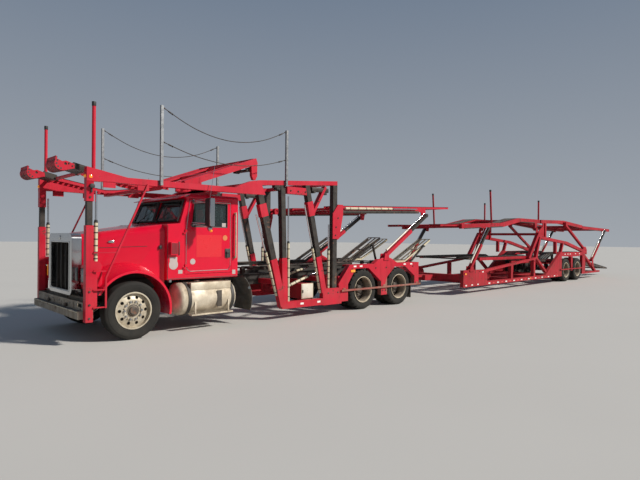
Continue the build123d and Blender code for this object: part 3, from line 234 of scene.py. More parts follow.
@cache
def effect_group(effect: Effect) -> bpy.types.NodeTree:
    """Build the node group of an effect, once.

    Args:
        effect: The effect wanted.

    Returns:
        A shader node group with Position, Scale and Amount inputs and a Mask output.
    """
    tree = bpy.data.node_groups.new(effect.value, "ShaderNodeTree")
    for name, kind in (("Position", "NodeSocketVector"), ("Scale", "NodeSocketFloat"),
                       ("Amount", "NodeSocketFloat")):
        tree.interface.new_socket(name, in_out="INPUT", socket_type=kind)
    tree.interface.new_socket("Mask", in_out="OUTPUT", socket_type="NodeSocketFloat")
    source = tree.nodes.new("NodeGroupInput")
    wires = Wires(tree)
    place, scale, amount = (source.outputs[name] for name in ("Position", "Scale", "Amount"))
    if effect is Effect.ROAD_DUST:
        normal = tree.nodes.new("ShaderNodeNewGeometry").outputs["Normal"]
        low = wires.times(wires.remap(wires.split(place, "Z"), 0.1, 1.1, 1.0, 0.0), 0.75)
        facing = wires.times(wires.remap(wires.split(normal, "Z"), 0.2, 1.0), 0.55)
        both = wires.calc("ADD", wires.calc("ADD", low, facing), 0.08)
        patch = wires.remap(wires.noise(place, scale, 6.0, 0.62), 0.33, 0.72)
        mask = wires.times(wires.times(both, patch), amount)
    elif effect is Effect.PAINT_CHIPS:
        fine = wires.times(wires.noise(place, scale, 9.0, 0.72), 0.62)
        broad = wires.times(wires.noise(place, wires.times(scale, 0.17), 2.0, 0.5), 0.38)
        both = wires.calc("ADD", wires.calc("ADD", fine, broad), wires.times(amount, 0.1))
        mask = wires.remap(both, 0.635, 0.66)
    elif effect is Effect.RAIN_STREAKS:
        long_way = tree.nodes.new("ShaderNodeVectorMath")
        long_way.operation = "MULTIPLY"
        wires.join(place, long_way.inputs[0])
        long_way.inputs[1].default_value = (1.0, 1.0, 0.07)
        mask = wires.times(wires.remap(wires.noise(long_way.outputs[0], scale, 5.0, 0.6), 0.45, 0.75), amount)
    else:
        mask = wires.times(wires.remap(wires.noise(place, scale, 7.0, 0.6), 0.3, 0.7), amount)
    wires.join(wires.calc("MINIMUM", mask, 1.0), tree.nodes.new("NodeGroupOutput").inputs["Mask"])
    return tree


def start_material(name: str) -> tuple[bpy.types.Material, bpy.types.Node, Wires, bpy.types.NodeSocket]:
    """Start a material.

    Args:
        name: Its name.

    Returns:
        The material, its shader, the wires of its tree and its object coordinates.
    """
    made = bpy.data.materials.new(name)
    made.use_nodes = True
    nodes = made.node_tree.nodes
    place = nodes.new("ShaderNodeTexCoord").outputs["Object"]
    return made, nodes["Principled BSDF"], Wires(made.node_tree), place


# Finishes

@dataclass(frozen=True)
class Finish:
    """A surface finish: a base colour varied by mottling, chips, streaks and road dust, its gloss and grain.

    Its slot is the record's material slot of the pieces that have it.
    """

    name: str
    slot: str
    colour: Colour
    second: Colour
    mottle_scale: float = 4.0
    mottle: float = 0.5
    metallic: float = 0.0
    roughness: float = 0.4
    rough_spread: float = 0.15
    chip_colour: Colour = (0.06, 0.035, 0.025)
    chip_scale: float = 26.0
    chips: float = 0.0
    streak_colour: Colour = (0.1, 0.075, 0.055)
    streaks: float = 0.0
    dust_colour: Colour = (0.3, 0.25, 0.2)
    dust: float = 0.5
    dust_scale: float = 5.0
    grain_scale: float = 90.0
    grain: float = 0.0006
    coat: float = 0.0
    specular: float = 0.5
    glow: Colour = (0.0, 0.0, 0.0)
    glow_strength: float = 0.0

    @cache
    def material(self) -> bpy.types.Material:
        """Build the material, once.

        Returns:
            The Blender material.
        """
        made, shader, wires, place = start_material(self.name)
        mottle = wires.mask(Effect.MOTTLE, place, self.mottle_scale, self.mottle)
        colour = wires.blend(mottle, self.colour, self.second)
        rough = wires.calc("ADD", wires.times(mottle, self.rough_spread), self.roughness)
        height = wires.noise(place, self.grain_scale, 3.0, 0.5)
        metal: object = self.metallic
        if self.streaks:
            streak = wires.mask(Effect.RAIN_STREAKS, place, 9.0, self.streaks)
            colour = wires.blend(streak, colour, self.streak_colour)
            rough = wires.calc("ADD", rough, wires.times(streak, 0.2))
        if self.chips:
            chip = wires.mask(Effect.PAINT_CHIPS, place, self.chip_scale, self.chips)
            colour = wires.blend(chip, colour, self.chip_colour)
            rough = wires.calc("ADD", rough, wires.times(chip, 0.3))
            height = wires.calc("SUBTRACT", height, wires.times(chip, 0.8))
            if self.metallic:
                metal = wires.calc("SUBTRACT", self.metallic, wires.times(chip, self.metallic))
        if self.dust:
            dust = wires.mask(Effect.ROAD_DUST, place, self.dust_scale, self.dust)
            colour = wires.blend(dust, colour, self.dust_colour)
            rough = wires.calc("ADD", rough, wires.times(dust, 0.45))
            if self.metallic:
                metal = wires.calc("SUBTRACT", metal, wires.times(dust, self.metallic * 0.8))
        wires.join(colour, shader.inputs["Base Color"])
        wires.join(wires.calc("MINIMUM", rough, 1.0), shader.inputs["Roughness"])
        wires.join(metal, shader.inputs["Metallic"])
        shader.inputs["Specular IOR Level"].default_value = self.specular
        shader.inputs["Coat Weight"].default_value = self.coat
        shader.inputs["Coat Roughness"].default_value = 0.06
        if self.glow_strength:
            shader.inputs["Emission Color"].default_value = (*self.glow, 1.0)
            shader.inputs["Emission Strength"].default_value = self.glow_strength
        bump = wires.tree.nodes.new("ShaderNodeBump")
        bump.inputs["Strength"].default_value = 0.6
        bump.inputs["Distance"].default_value = self.grain
        wires.join(height, bump.inputs["Height"])
        wires.join(bump.outputs[0], shader.inputs["Normal"])
        return made


CAB_RED = Finish(
    "cab_red_enamel", "red_paint", (0.64, 0.0012, 0.026), (0.53, 0.0015, 0.022), roughness=0.2,
    rough_spread=0.12, coat=0.25, specular=0.35, dust=0.22, dust_colour=(0.2, 0.12, 0.09), grain=0.0002,
    streaks=0.06, streak_colour=(0.2, 0.004, 0.01))
FRAME_RED = Finish(
    "frame_red_enamel", "red_paint", (0.46, 0.003, 0.02), (0.56, 0.02, 0.042), mottle_scale=1.6, mottle=0.8,
    roughness=0.36, rough_spread=0.2, coat=0.06, specular=0.25, chips=0.36, streaks=0.38, dust=0.34,
    dust_colour=(0.17, 0.09, 0.07), streak_colour=(0.16, 0.006, 0.01))
TRAILER_RED = Finish(
    "trailer_red_enamel", "red_paint", (0.33, 0.003, 0.013), (0.46, 0.016, 0.03), mottle_scale=1.3,
    mottle=0.9, roughness=0.42, rough_spread=0.2, specular=0.22, chips=0.55, streaks=0.55, dust=0.42,
    dust_colour=(0.13, 0.075, 0.055), streak_colour=(0.11, 0.007, 0.009))
PANEL_RED = Finish(
    "lighter_red_panel", "red_paint", (0.66, 0.02, 0.03), (0.6, 0.016, 0.026), roughness=0.24, coat=0.2,
    specular=0.35, dust=0.2)
RUSTY_RAIL = Finish(
    "rusty_rub_rail", "red_paint", (0.34, 0.04, 0.03), (0.17, 0.06, 0.035), mottle_scale=9.0, mottle=1.0,
    roughness=0.55, dust=0.9)
DARK_STEEL = Finish(
    "greased_steel", "dark_steel", (0.019, 0.017, 0.016), (0.058, 0.048, 0.04), mottle_scale=7.0,
    mottle=0.9, metallic=0.55, roughness=0.42, rough_spread=0.25, chips=0.4, chip_colour=(0.16, 0.06, 0.03),
    chip_scale=14.0, dust=0.6, streaks=0.35, streak_colour=(0.03, 0.026, 0.024))
TRACK_STEEL = Finish(
    "worn_track_steel", "dark_steel", (0.055, 0.046, 0.04), (0.15, 0.12, 0.1), mottle_scale=5.0, mottle=1.0,
    metallic=0.5, roughness=0.45, rough_spread=0.2, chips=0.55, chip_colour=(0.2, 0.075, 0.035),
    chip_scale=11.0, dust=0.8)
KHAKI_TRACK = Finish(
    "weathered_khaki_steel", "dark_steel", (0.26, 0.22, 0.14), (0.11, 0.09, 0.06), mottle_scale=6.0,
    mottle=1.0, metallic=0.3, roughness=0.5, dust=0.8)
GALVANISED = Finish(
    "galvanised_zinc", "galvanised", (0.15, 0.16, 0.17), (0.25, 0.26, 0.27), mottle_scale=22.0, mottle=1.0,
    metallic=0.75, roughness=0.38, dust=0.45, streaks=0.3, streak_colour=(0.2, 0.19, 0.17))
BUMPER_STEEL = Finish(
    "weathered_bumper", "galvanised", (0.2, 0.17, 0.13), (0.38, 0.34, 0.27), mottle_scale=6.0, mottle=1.0,
    metallic=0.45, roughness=0.45, rough_spread=0.2, chips=0.55, chip_colour=(0.11, 0.06, 0.035),
    streaks=0.65, streak_colour=(0.13, 0.08, 0.05), dust=0.7)
RIM_EDGE = Finish(
    "bright_rim_edge", "polished_aluminium", (0.78, 0.769, 0.741), (0.78, 0.769, 0.741), mottle=0.0,
    metallic=0.9, roughness=0.35, rough_spread=0.0, dust=0.0, grain=0.0)
TANK_ALLOY = Finish(
    "road_stained_tank", "polished_aluminium", (0.84, 0.76, 0.61), (0.5, 0.42, 0.3), mottle=1.0,
    metallic=0.35, roughness=0.42, rough_spread=0.2, dust=1.1, dust_colour=(0.17, 0.12, 0.08))
WING_STEEL = Finish(
    "dark_polished_wing", "polished_aluminium", (0.2, 0.2, 0.19), (0.1, 0.095, 0.085), mottle_scale=6.0,
    mottle=1.0, metallic=0.9, roughness=0.22, rough_spread=0.25)
CHROME = Finish(
    "dulled_chrome", "chrome", (0.5, 0.51, 0.52), (0.34, 0.34, 0.34), mottle_scale=3.0, metallic=1.0,
    roughness=0.1, rough_spread=0.16, dust=0.22, grain=0.0001)
CHROME_ROD = Finish(
    "chrome_rod", "chrome", (0.74, 0.74, 0.74), (0.55, 0.55, 0.55), mottle_scale=6.0, metallic=1.0,
    roughness=0.09, rough_spread=0.12, dust=0.12, grain=0.0001)
DULL_CHROME = Finish(
    "dark_chrome", "chrome", (0.2, 0.2, 0.2), (0.12, 0.12, 0.12), mottle_scale=5.0, metallic=1.0,
    roughness=0.16, rough_spread=0.2, dust=0.3, grain=0.0001)
RIM_ALLOY = Finish(
    "road_worn_alloy", "chrome", (0.7, 0.64, 0.51), (0.44, 0.38, 0.28), mottle_scale=14.0, mottle=1.0,
    metallic=0.55, roughness=0.38, rough_spread=0.25, dust=0.9, dust_colour=(0.2, 0.15, 0.1),
    dust_scale=9.0)
MIRROR_GLASS = Finish(
    "mirror_glass", "chrome", (0.55, 0.58, 0.6), (0.5, 0.53, 0.55), metallic=1.0, roughness=0.03,
    rough_spread=0.03, dust=0.05, grain=0.00002)
WHITE = Finish(
    "white_enamel", "white_paint", (0.72, 0.68, 0.58), (0.52, 0.47, 0.37), mottle_scale=6.0, roughness=0.32,
    chips=0.38, chip_colour=(0.2, 0.1, 0.05), streaks=0.3, streak_colour=(0.34, 0.24, 0.16), dust=0.45)
CREAM = Finish(
    "cream_enamel", "white_paint", (0.64, 0.57, 0.4), (0.44, 0.38, 0.25), mottle_scale=5.0, roughness=0.42,
    chips=0.5, chip_colour=(0.18, 0.09, 0.045), streaks=0.3)
RIM_WHITE = Finish(
    "rim_white", "white_paint", (0.66, 0.58, 0.43), (0.44, 0.36, 0.25), mottle_scale=9.0, roughness=0.45,
    chips=0.4, chip_colour=(0.16, 0.08, 0.045), dust=0.9, dust_colour=(0.26, 0.2, 0.15))
# Darkened cream, painted as the shade deep in the twin rims' wells, with road dust laid over it.
RIM_WELL_SHADE = Finish(
    "cream_well_painted_shade", "white_paint", (0.33, 0.26, 0.18), (0.09, 0.07, 0.052), mottle_scale=6.0,
    mottle=1.0, roughness=0.5, dust=0.9)
REFLECT_WHITE = Finish(
    "white_reflector", "white_paint", (0.86, 0.85, 0.8), (0.72, 0.7, 0.64), mottle_scale=30.0,
    roughness=0.25, dust=0.35, grain_scale=400.0, grain=0.0008)
REFLECT_RED = Finish(
    "red_reflector", "red_paint", (0.7, 0.015, 0.02), (0.56, 0.012, 0.016), mottle_scale=30.0,
    roughness=0.22, dust=0.3, grain_scale=400.0, grain=0.0008, coat=0.4)
STICKER = Finish("blank_sticker", "white_paint", (0.46, 0.4, 0.38), (0.36, 0.3, 0.28), dust=0.2)
STICKER_ORANGE = Finish(
    "orange_sticker", "white_paint", (0.62, 0.2, 0.07), (0.52, 0.15, 0.05), roughness=0.35, dust=0.2)
TYRE = Finish(
    "tyre_rubber", "tyre", (0.012, 0.012, 0.011), (0.026, 0.024, 0.021), mottle_scale=8.0, roughness=0.78,
    dust=0.35, dust_colour=(0.09, 0.08, 0.065), grain_scale=160.0, grain=0.001, specular=0.3)
RUBBER = Finish(
    "black_rubber", "rubber", (0.014, 0.014, 0.014), (0.03, 0.03, 0.03), roughness=0.55, dust=0.35)
CHASSIS = Finish(
    "chassis_black", "black_paint", (0.012, 0.011, 0.01), (0.032, 0.027, 0.023), mottle_scale=6.0,
    mottle=0.9, roughness=0.5, chips=0.3, chip_colour=(0.12, 0.055, 0.03), dust_colour=(0.1, 0.08, 0.06))
DISC_STEEL = Finish(
    "sooty_disc", "black_paint", (0.085, 0.062, 0.045), (0.028, 0.024, 0.021), mottle_scale=11.0,
    mottle=1.0, roughness=0.62, dust=0.8)
IRON = Finish(
    "oily_iron", "engine", (0.035, 0.03, 0.026), (0.075, 0.06, 0.048), mottle_scale=10.0, mottle=0.9,
    metallic=0.3, roughness=0.5, chips=0.5, chip_colour=(0.15, 0.06, 0.03), dust=0.6)
PLASTIC = Finish(
    "cab_plastic", "interior", (0.045, 0.045, 0.048), (0.07, 0.07, 0.072), roughness=0.55, dust=0.1,
    grain_scale=500.0)
CAB_LINING = Finish(
    "grey_cab_lining", "interior", (0.24, 0.26, 0.26), (0.18, 0.2, 0.2), mottle_scale=8.0, roughness=0.75)
SEAT = Finish(
    "seat_cloth", "interior", (0.09, 0.09, 0.1), (0.14, 0.14, 0.15), mottle_scale=60.0, roughness=0.9,
    rough_spread=0.05, dust=0.1, grain_scale=900.0, grain=0.0012, specular=0.2)
AMBER = Finish(
    "amber_lens", "glass", (0.85, 0.3, 0.02), (0.75, 0.22, 0.01), roughness=0.12, dust=0.2, coat=0.6,
    glow=(1.0, 0.32, 0.02), glow_strength=0.25)
RED_LENS = Finish(
    "red_lens", "glass", (0.55, 0.01, 0.01), (0.45, 0.008, 0.008), roughness=0.12, dust=0.2, coat=0.6,
    glow=(1.0, 0.02, 0.01), glow_strength=0.1)
LENS = Finish(
    "clear_lens", "glass", (0.15, 0.18, 0.19), (0.11, 0.13, 0.14), roughness=0.08, coat=1.0, dust=0.15,
    metallic=0.3)


@dataclass(frozen=True)
class GlassFinish:
    """Thin tinted window glass with a light film of dust."""

    name: str
    slot: str
    tint: Colour
    roughness: float = 0.02

    @cache
    def material(self) -> bpy.types.Material:
        """Build the material, once.

        Returns:
            The Blender material.
        """
        made, shader, wires, place = start_material(self.name)
        film = wires.mask(Effect.RAIN_STREAKS, place, 7.0, 0.35)
        tint = wires.blend(film, self.tint, tuple(c * 0.8 for c in self.tint))
        wires.join(tint, shader.inputs["Base Color"])
        wires.join(wires.calc("ADD", wires.times(film, 0.08), self.roughness), shader.inputs["Roughness"])
        shader.inputs["Transmission Weight"].default_value = 0.92
        shader.inputs["IOR"].default_value = 1.45
        shader.inputs["Metallic"].default_value = 0.0
        return made


WINDOW = GlassFinish("window_glass", "glass", (0.2, 0.27, 0.27))
Look = Finish | GlassFinish


# Mesh forms

def place_object(name: str, data: bpy.types.ID, body: str,
                 replaces: Sequence[str]) -> bpy.types.Object:
    """Put a piece in the scene, riding on its body.

    Args:
        name: The piece's name.
        data: Its mesh or curve.
        body: The body that it rides on.
        replaces: Solids that it stands for.

    Returns:
        The new object.
    """
    piece = bpy.data.objects.new(name, data)
    bpy.context.scene.collection.objects.link(piece)
    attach(piece, body)
    if replaces:
        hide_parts(*replaces)
    log.info("%s rides on %s", name, body)
    return piece


def write_mesh(name: str, bm: bmesh.types.BMesh, looks: Sequence[Look]) -> bpy.types.Mesh:
    """Turn a mesh being edited into mesh data with smooth shading and sharp edges, and free it.

    Args:
        name: Name of the mesh.
        bm: The mesh being edited.
        looks: Its finishes.

    Returns:
        The mesh data.
    """
    mesh = bpy.data.meshes.new(name)
    bm.to_mesh(mesh)
    bm.free()
    mesh.polygons.foreach_set("use_smooth", [True] * len(mesh.polygons))
    mesh.set_sharp_from_angle(angle=SMOOTH_ANGLE)
    for look in looks:
        mesh.materials.append(look.material())
    return mesh


def bevel(bm: bmesh.types.BMesh, edges: Sequence[bmesh.types.BMEdge], width: float,
          segments: int = 2) -> None:
    """Round edges of a mesh.

    Args:
        bm: The mesh.
        edges: The edges to round.
        width: How far the rounding reaches.
        segments: Steps of the rounding.
    """
    bmesh.ops.bevel(bm, geom=edges, offset=width, offset_type="OFFSET", segments=segments, profile=0.5,
                    affect="EDGES", clamp_overlap=True, material=-1)


def sweep_verts(bm: bmesh.types.BMesh, faces: Sequence[bmesh.types.BMFace], way: Point) -> None:
    """Extrude faces of a mesh along a way.

    Args:
        bm: The mesh.
        faces: The faces, which are the shape's other end.
        way: Where the new end goes.
    """
    grown = bmesh.ops.extrude_face_region(bm, geom=faces)
    moved = [item for item in grown["geom"] if isinstance(item, bmesh.types.BMVert)]
    bmesh.ops.translate(bm, vec=way, verts=moved)
    bmesh.ops.recalc_face_normals(bm, faces=bm.faces)


def along(start: Point, end: Point, y: float) -> Matrix:
    """Give the place of a member between two points of a side view.

    Args:
        start: (x, z) of one end.
        end: (x, z) of the other.
        y: Its middle across the vehicle.

    Returns:
        The matrix that puts it there, its length along X.
    """
    middle = Matrix.Translation(((start[0] + end[0]) / 2, y, (start[1] + end[1]) / 2))
    return middle @ Matrix.Rotation(-math.atan2(end[1] - start[1], end[0] - start[0]), 4, "Y")


def circle(count: int, radius: float, y: float, offset: float = 0.0) -> list[Vector]:
    """Give places on a circle about the Y axis.

    Args:
        count: How many.
        radius: The circle's radius.
        y: Where it lies.
        offset: Turn of the first one, in steps.

    Returns:
        The places.
    """
    turns = (2 * math.pi * (i + offset) / count for i in range(count))
    return [Vector((radius * math.sin(turn), y, radius * math.cos(turn))) for turn in turns]


class Form:
    """A mesh being shaped with operators, in metres from the front axle.

    Its shaping calls give the form itself, so that they can be chained.
    """

    def __init__(self) -> None:
        """Start empty."""
        self.bm = bmesh.new()

    def take(self, part: bmesh.types.BMesh, matrix: Matrix | None = None) -> "Form":
        """Add another mesh and free it.

        Args:
            part: The mesh to add.
            matrix: Where to put it.

        Returns:
            This form.
        """
        mesh = bpy.data.meshes.new("part")
        part.to_mesh(mesh)
        part.free()
        if matrix is not None:
            mesh.transform(matrix)
        self.bm.from_mesh(mesh)
        bpy.data.meshes.remove(mesh)
        return self

    def add(self, other: "Form", matrix: Matrix) -> "Form":
        """Add a copy of another form.

        Args:
            other: The form to copy.
            matrix: Where to put the copy.

        Returns:
            This form.
        """
        return self.take(other.bm.copy(), matrix)

    def block(self, low: Point, high: Point, rounding: float = 0.0, segments: int = 2) -> "Form":
        """Add a box.

        Args:
            low: Lowest corner.
            high: Highest corner.
            rounding: Radius of the edges.
            segments: Steps of the rounding.

        Returns:
            This form.
        """
        part = bmesh.new()
        bmesh.ops.create_cube(part, size=1.0)
        bmesh.ops.scale(part, vec=[b - a for a, b in zip(low, high)], verts=part.verts)
        if rounding:
            bevel(part, part.edges[:], rounding, segments)
        return self.take(part, Matrix.Translation([(a + b) / 2 for a, b in zip(low, high)]))

    def rod(self, start: Point, end: Point, radius: float, segments: int = 16,
            rounding: float = 0.0) -> "Form":
        """Add a round bar between two points.

        Args:
            start: First end.
            end: Second end.
            radius: Its radius.
            segments: Facets around.
            rounding: Radius of the rims.

        Returns:
            This form.
        """
        part = bmesh.new()
        run = Vector(end) - Vector(start)
        bmesh.ops.create_cone(part, cap_ends=True, cap_tris=False, segments=segments, radius1=radius,
                              radius2=radius, depth=run.length)
        if rounding:
            bevel(part, [e for e in part.edges if abs(e.verts[0].co.z - e.verts[1].co.z) < 1e-6], rounding)
        turn = Vector((0, 0, 1)).rotation_difference(run.normalized()).to_matrix().to_4x4()
        return self.take(part, Matrix.Translation((Vector(start) + Vector(end)) / 2) @ turn)

    def across(self, x: float, z: float, band: Point, radius: float, segments: int = 16,
               rounding: float = 0.0) -> "Form":
        """Add a round bar across the vehicle.

        Args:
            x: Its place along the vehicle.
            z: Its height.
            band: Its low and high y.
            radius: Its radius.
            segments: Facets around.
            rounding: Radius of the rims.

        Returns:
            This form.
        """
        return self.rod((x, band[0], z), (x, band[1], z), radius, segments, rounding)

    def bar(self, start: Point, end: Point, depth: float, band: Point, rounding: float = 0.0) -> "Form":
        """Add a straight square member in side view.

        Args:
            start: (x, z) of one end.
            end: (x, z) of the other.
            depth: Its depth square to the run.
            band: Its low and high y.
            rounding: Radius of the edges.

        Returns:
            This form.
        """
        half = (math.dist(start, end) / 2, (band[1] - band[0]) / 2, depth / 2)
        part = Form().block([-size for size in half], half, rounding)
        return self.take(part.bm, along(start, end, (band[0] + band[1]) / 2))

    def plate(self, outline: Sequence[Point], band: Point, rounding: float = 0.0) -> "Form":
        """Add a plate cut to a side-view outline.

        Args:
            outline: Its (x, z) corners.
            band: Its low and high y.
            rounding: Radius of all its edges.

        Returns:
            This form.
        """
        part = bmesh.new()
        face = part.faces.new([part.verts.new((x, band[0], z)) for x, z in outline])
        sweep_verts(part, [face], (0, band[1] - band[0], 0))
        if rounding:
            bevel(part, part.edges[:], rounding)
        return self.take(part)

    def lathe(self, profile: Sequence[Point], steps: int = 64, closed: bool = True,
              matrix: Matrix | None = None) -> "Form":
        """Add a shape turned about the Y axis.

        Args:
            profile: (y, radius) points.
            steps: Steps around.
            closed: Whether the profile's last point joins its first.
            matrix: Where to put it.

        Returns:
            This form.
        """
        part = bmesh.new()
        verts = [part.verts.new((radius, y, 0)) for y, radius in profile]
        edges = [part.edges.new(pair) for pair in zip(verts, verts[1:])]
        if closed:
            edges.append(part.edges.new((verts[-1], verts[0])))
        bmesh.ops.spin(part, geom=verts + edges, cent=(0, 0, 0), axis=OUTWARD, dvec=(0, 0, 0),
                       angle=2 * math.pi, steps=steps, use_merge=True, use_duplicate=False)
        bmesh.ops.remove_doubles(part, verts=part.verts, dist=1e-5)
        bmesh.ops.recalc_face_normals(part, faces=part.faces)
        return self.take(part, matrix)

    def pipe(self, points: Sequence[Point], radius: float, segments: int = 10) -> "Form":
        """Add a bent pipe of straight runs with round corners.

        Args:
            points: The route.
            radius: Its radius.
            segments: Facets around.

        Returns:
            This form.
        """
        for start, end in zip(points, points[1:]):
            self.rod(start, end, radius, segments)
        for corner in points[1:-1]:
            self.ball(corner, (radius,) * 3, segments, 6)
        return self

    def hoop(self, corners: Sequence[Point], radius: float, segments: int = 8) -> "Form":
        """Add a closed pipe through its corners.

        Args:
            corners: The corners in turn.
            radius: Its radius.
            segments: Facets around.

        Returns:
            This form.
        """
        return self.pipe([*corners, *corners[:2]], radius, segments)

    def ball(self, centre: Point, size: Point, segments: int = 16, rings: int = 0) -> "Form":
        """Add a ball squashed to a size for each axis.

        Args:
            centre: Its middle.
            size: Half its size along each axis.
            segments: Facets around.
            rings: Facets from pole to pole, or 0 for half the segments.

        Returns:
            This form.
        """
        part = bmesh.new()
        bmesh.ops.create_uvsphere(part, u_segments=segments, v_segments=rings or segments // 2, radius=1.0)
        bmesh.ops.scale(part, vec=size, verts=part.verts)
        return self.take(part, Matrix.Translation(centre))

    def bolts(self, spots: Iterable[Point], radius: float, height: float, axis: Point = OUTWARD) -> "Form":
        """Add hexagon bolt heads.

        Args:
            spots: Where their seats are.
            radius: Half the head across corners.
            height: Height of the head.
            axis: The way they stand out.

        Returns:
            This form.
        """
        for spot in spots:
            self.rod(spot, Vector(spot) + Vector(axis) * height, radius, segments=6)
        return self

    def mirrored(self) -> "Form":
        """Add the mirror image on the other side.

        Returns:
            This form.
        """
        part = self.bm.copy()
        bmesh.ops.scale(part, vec=(1, -1, 1), verts=part.verts)
        bmesh.ops.reverse_faces(part, faces=part.faces)
        return self.take(part)

    def settle(self, name: str, look: Look, body: str = "tractor", slot: str = "",
               replaces: Sequence[str] = ()) -> bpy.types.Object:
        """Make the form a piece of the scene and end it.

        Args:
            name: The piece's name.
            look: Its finish.
            body: The body that it rides on.
            slot: The record's material slot, where it isn't the finish's own. Not used.
            replaces: Solids that it stands for.

        Returns:
            The new object.
        """
        bmesh.ops.recalc_face_normals(self.bm, faces=self.bm.faces)
        bmesh.ops.translate(self.bm, vec=(AXLE_X, 0, 0), verts=self.bm.verts)
        return place_object(name, write_mesh(name, self.bm, [look]), body, replaces)

    def settle_both(self, name: str, look: Look, body: str = "tractor", slot: str = "") -> None:
        """Make a form that is modelled on the left a left piece and a right piece.

        Args:
            name: The pieces' name, without its side.
            look: Their finish.
            body: The body, with braces where its side goes.
            slot: The record's material slot, where it isn't the finish's own.
        """
        for side, sign in SIDES:
            piece = Form().add(self, Matrix.Diagonal((1, sign, 1, 1)))
            piece.settle(f"{name}_{side}", look, body.format(side), slot)
        self.bm.free()


# Wheels

class Tread(Enum):
    """Tread of a tyre."""

    RIBS = "ribs"
    LUGS = "lugs"


@dataclass
class RoadTyre:
    """Truck tyre about its own middle, axis along Y."""

    radius: float = 0.465
    groove_width: float = 0.011
    groove_depth: float = 0.012
    grooves: tuple[float, ...] = (-0.066, -0.023, 0.023, 0.066)
    steps: int = 96
    lug_depth: float = 0.011
    side: tuple[Point, ...] = (
        (0.1, 0.2925), (0.109, 0.303), (0.1135, 0.322), (0.1165, 0.3235), (0.118, 0.333), (0.1165, 0.3345),
        (0.124, 0.36), (0.1275, 0.389), (0.1255, 0.408), (0.1275, 0.4095), (0.1265, 0.4145), (0.1235, 0.4155),
        (0.116, 0.437), (0.1095, 0.45), (0.102, 0.4575))

    def shape(self, tread: Tread) -> Form:
        """Build the tyre.

        Args:
            tread: Ribs all round, or ribs with lugs cut in the shoulders.

        Returns:
            The tyre's form.
        """
        crown = []
        for middle in self.grooves:
            for step, sink in ((-0.5, 0), (-0.36, 1), (0.36, 1), (0.5, 0)):
                y = middle + step * self.groove_width
                crown.append((y, self.radius - 0.1 * abs(y) ** 1.5 - sink * self.groove_depth))
        form = Form().lathe([(-y, r) for y, r in self.side] + crown + list(reversed(self.side)), self.steps)
        if tread is Tread.LUGS:
            self.cut_lugs(form.bm)
        return form

    def cut_lugs(self, bm: bmesh.types.BMesh) -> None:
        """Sink every fourth shoulder face to leave lugs.

        Args:
            bm: The tyre's mesh.
        """
        chosen = []
        for face in bm.faces:
            middle = face.calc_center_median()
            reach = math.hypot(middle.x, middle.z)
            step = round(math.atan2(middle.z, middle.x) / (2 * math.pi / self.steps) - 0.5)
            if 0.07 < abs(middle.y) < 0.119 and reach > 0.437 and step % 4 == 0:
                chosen.append(face)
        for face in bmesh.ops.extrude_discrete_faces(bm, faces=chosen)["faces"]:
            middle = face.calc_center_median()
            inward = Vector((-middle.x, 0, -middle.z)).normalized() * self.lug_depth
            bmesh.ops.translate(bm, vec=inward, verts=face.verts)


def wheel_place(x: float, y: float, sign: int) -> Matrix:
    """Give the place of a wheel that is modelled with its outside towards +Y.

    Args:
        x: Station of its axle.
        y: Its middle, without sign.
        sign: 1 on the left, -1 on the right.

    Returns:
        The matrix that puts it there.
    """
    return Matrix.Translation((x, sign * y, AXLE_Z)) @ Matrix.Rotation(0 if sign > 0 else math.pi, 4, "Z")


@dataclass
class FrontWheels:
    """Steered wheels: ribbed tyres on polished ten-hole rims, with nuts and hub covers."""

    nut_circle: float = 0.1425
    nut_face: float = 0.079
    nuts: int = 10
    cover: tuple[Point, ...] = ((0.072, 0.0), (0.072, 0.1), (0.086, 0.1), (0.088, 0.078), (0.118, 0.068),
                                (0.126, 0.058), (0.1265, 0.0))
    lip: tuple[Point, ...] = ((0.104, 0.286), (0.111, 0.3), (0.1165, 0.299), (0.1135, 0.284), (0.107, 0.278))
    drum: tuple[Point, ...] = ((-0.08, 0.18), (-0.08, 0.235), (0.02, 0.252), (0.03, 0.23), (0.03, 0.12),
                               (0.01, 0.11), (-0.02, 0.17))

    def build(self) -> None:
        """Build both front wheels."""
        spots = circle(self.nuts, self.nut_circle, self.nut_face, 0.5)
        cover = Form().lathe(self.cover, 40, closed=False).bolts(circle(6, 0.089, 0.084), 0.007, 0.008)
        parts = (
            ("nuts", CHROME, Form().bolts(spots, 0.02, 0.022).bolts(spots, 0.011, 0.034)),
            ("hub_cover", IRON, cover),
            ("rim_lip", RIM_EDGE, Form().lathe(self.lip, 72)),
            ("drum", CHASSIS, Form().lathe(self.drum, 48)))
        tyre = RoadTyre().shape(Tread.RIBS)
        for side, sign in SIDES:
            place = wheel_place(0.0, STEER_Y, sign)
            body = f"front_wheel_{side}"
            Form().add(tyre, place).settle(f"front_tyre_tread_{side}", TYRE, body,
                                           replaces=[f"front_tyre_{side}"])
            for name, look, form in parts:
                Form().add(form, place).settle(f"front_{name}_{side}", look, body)


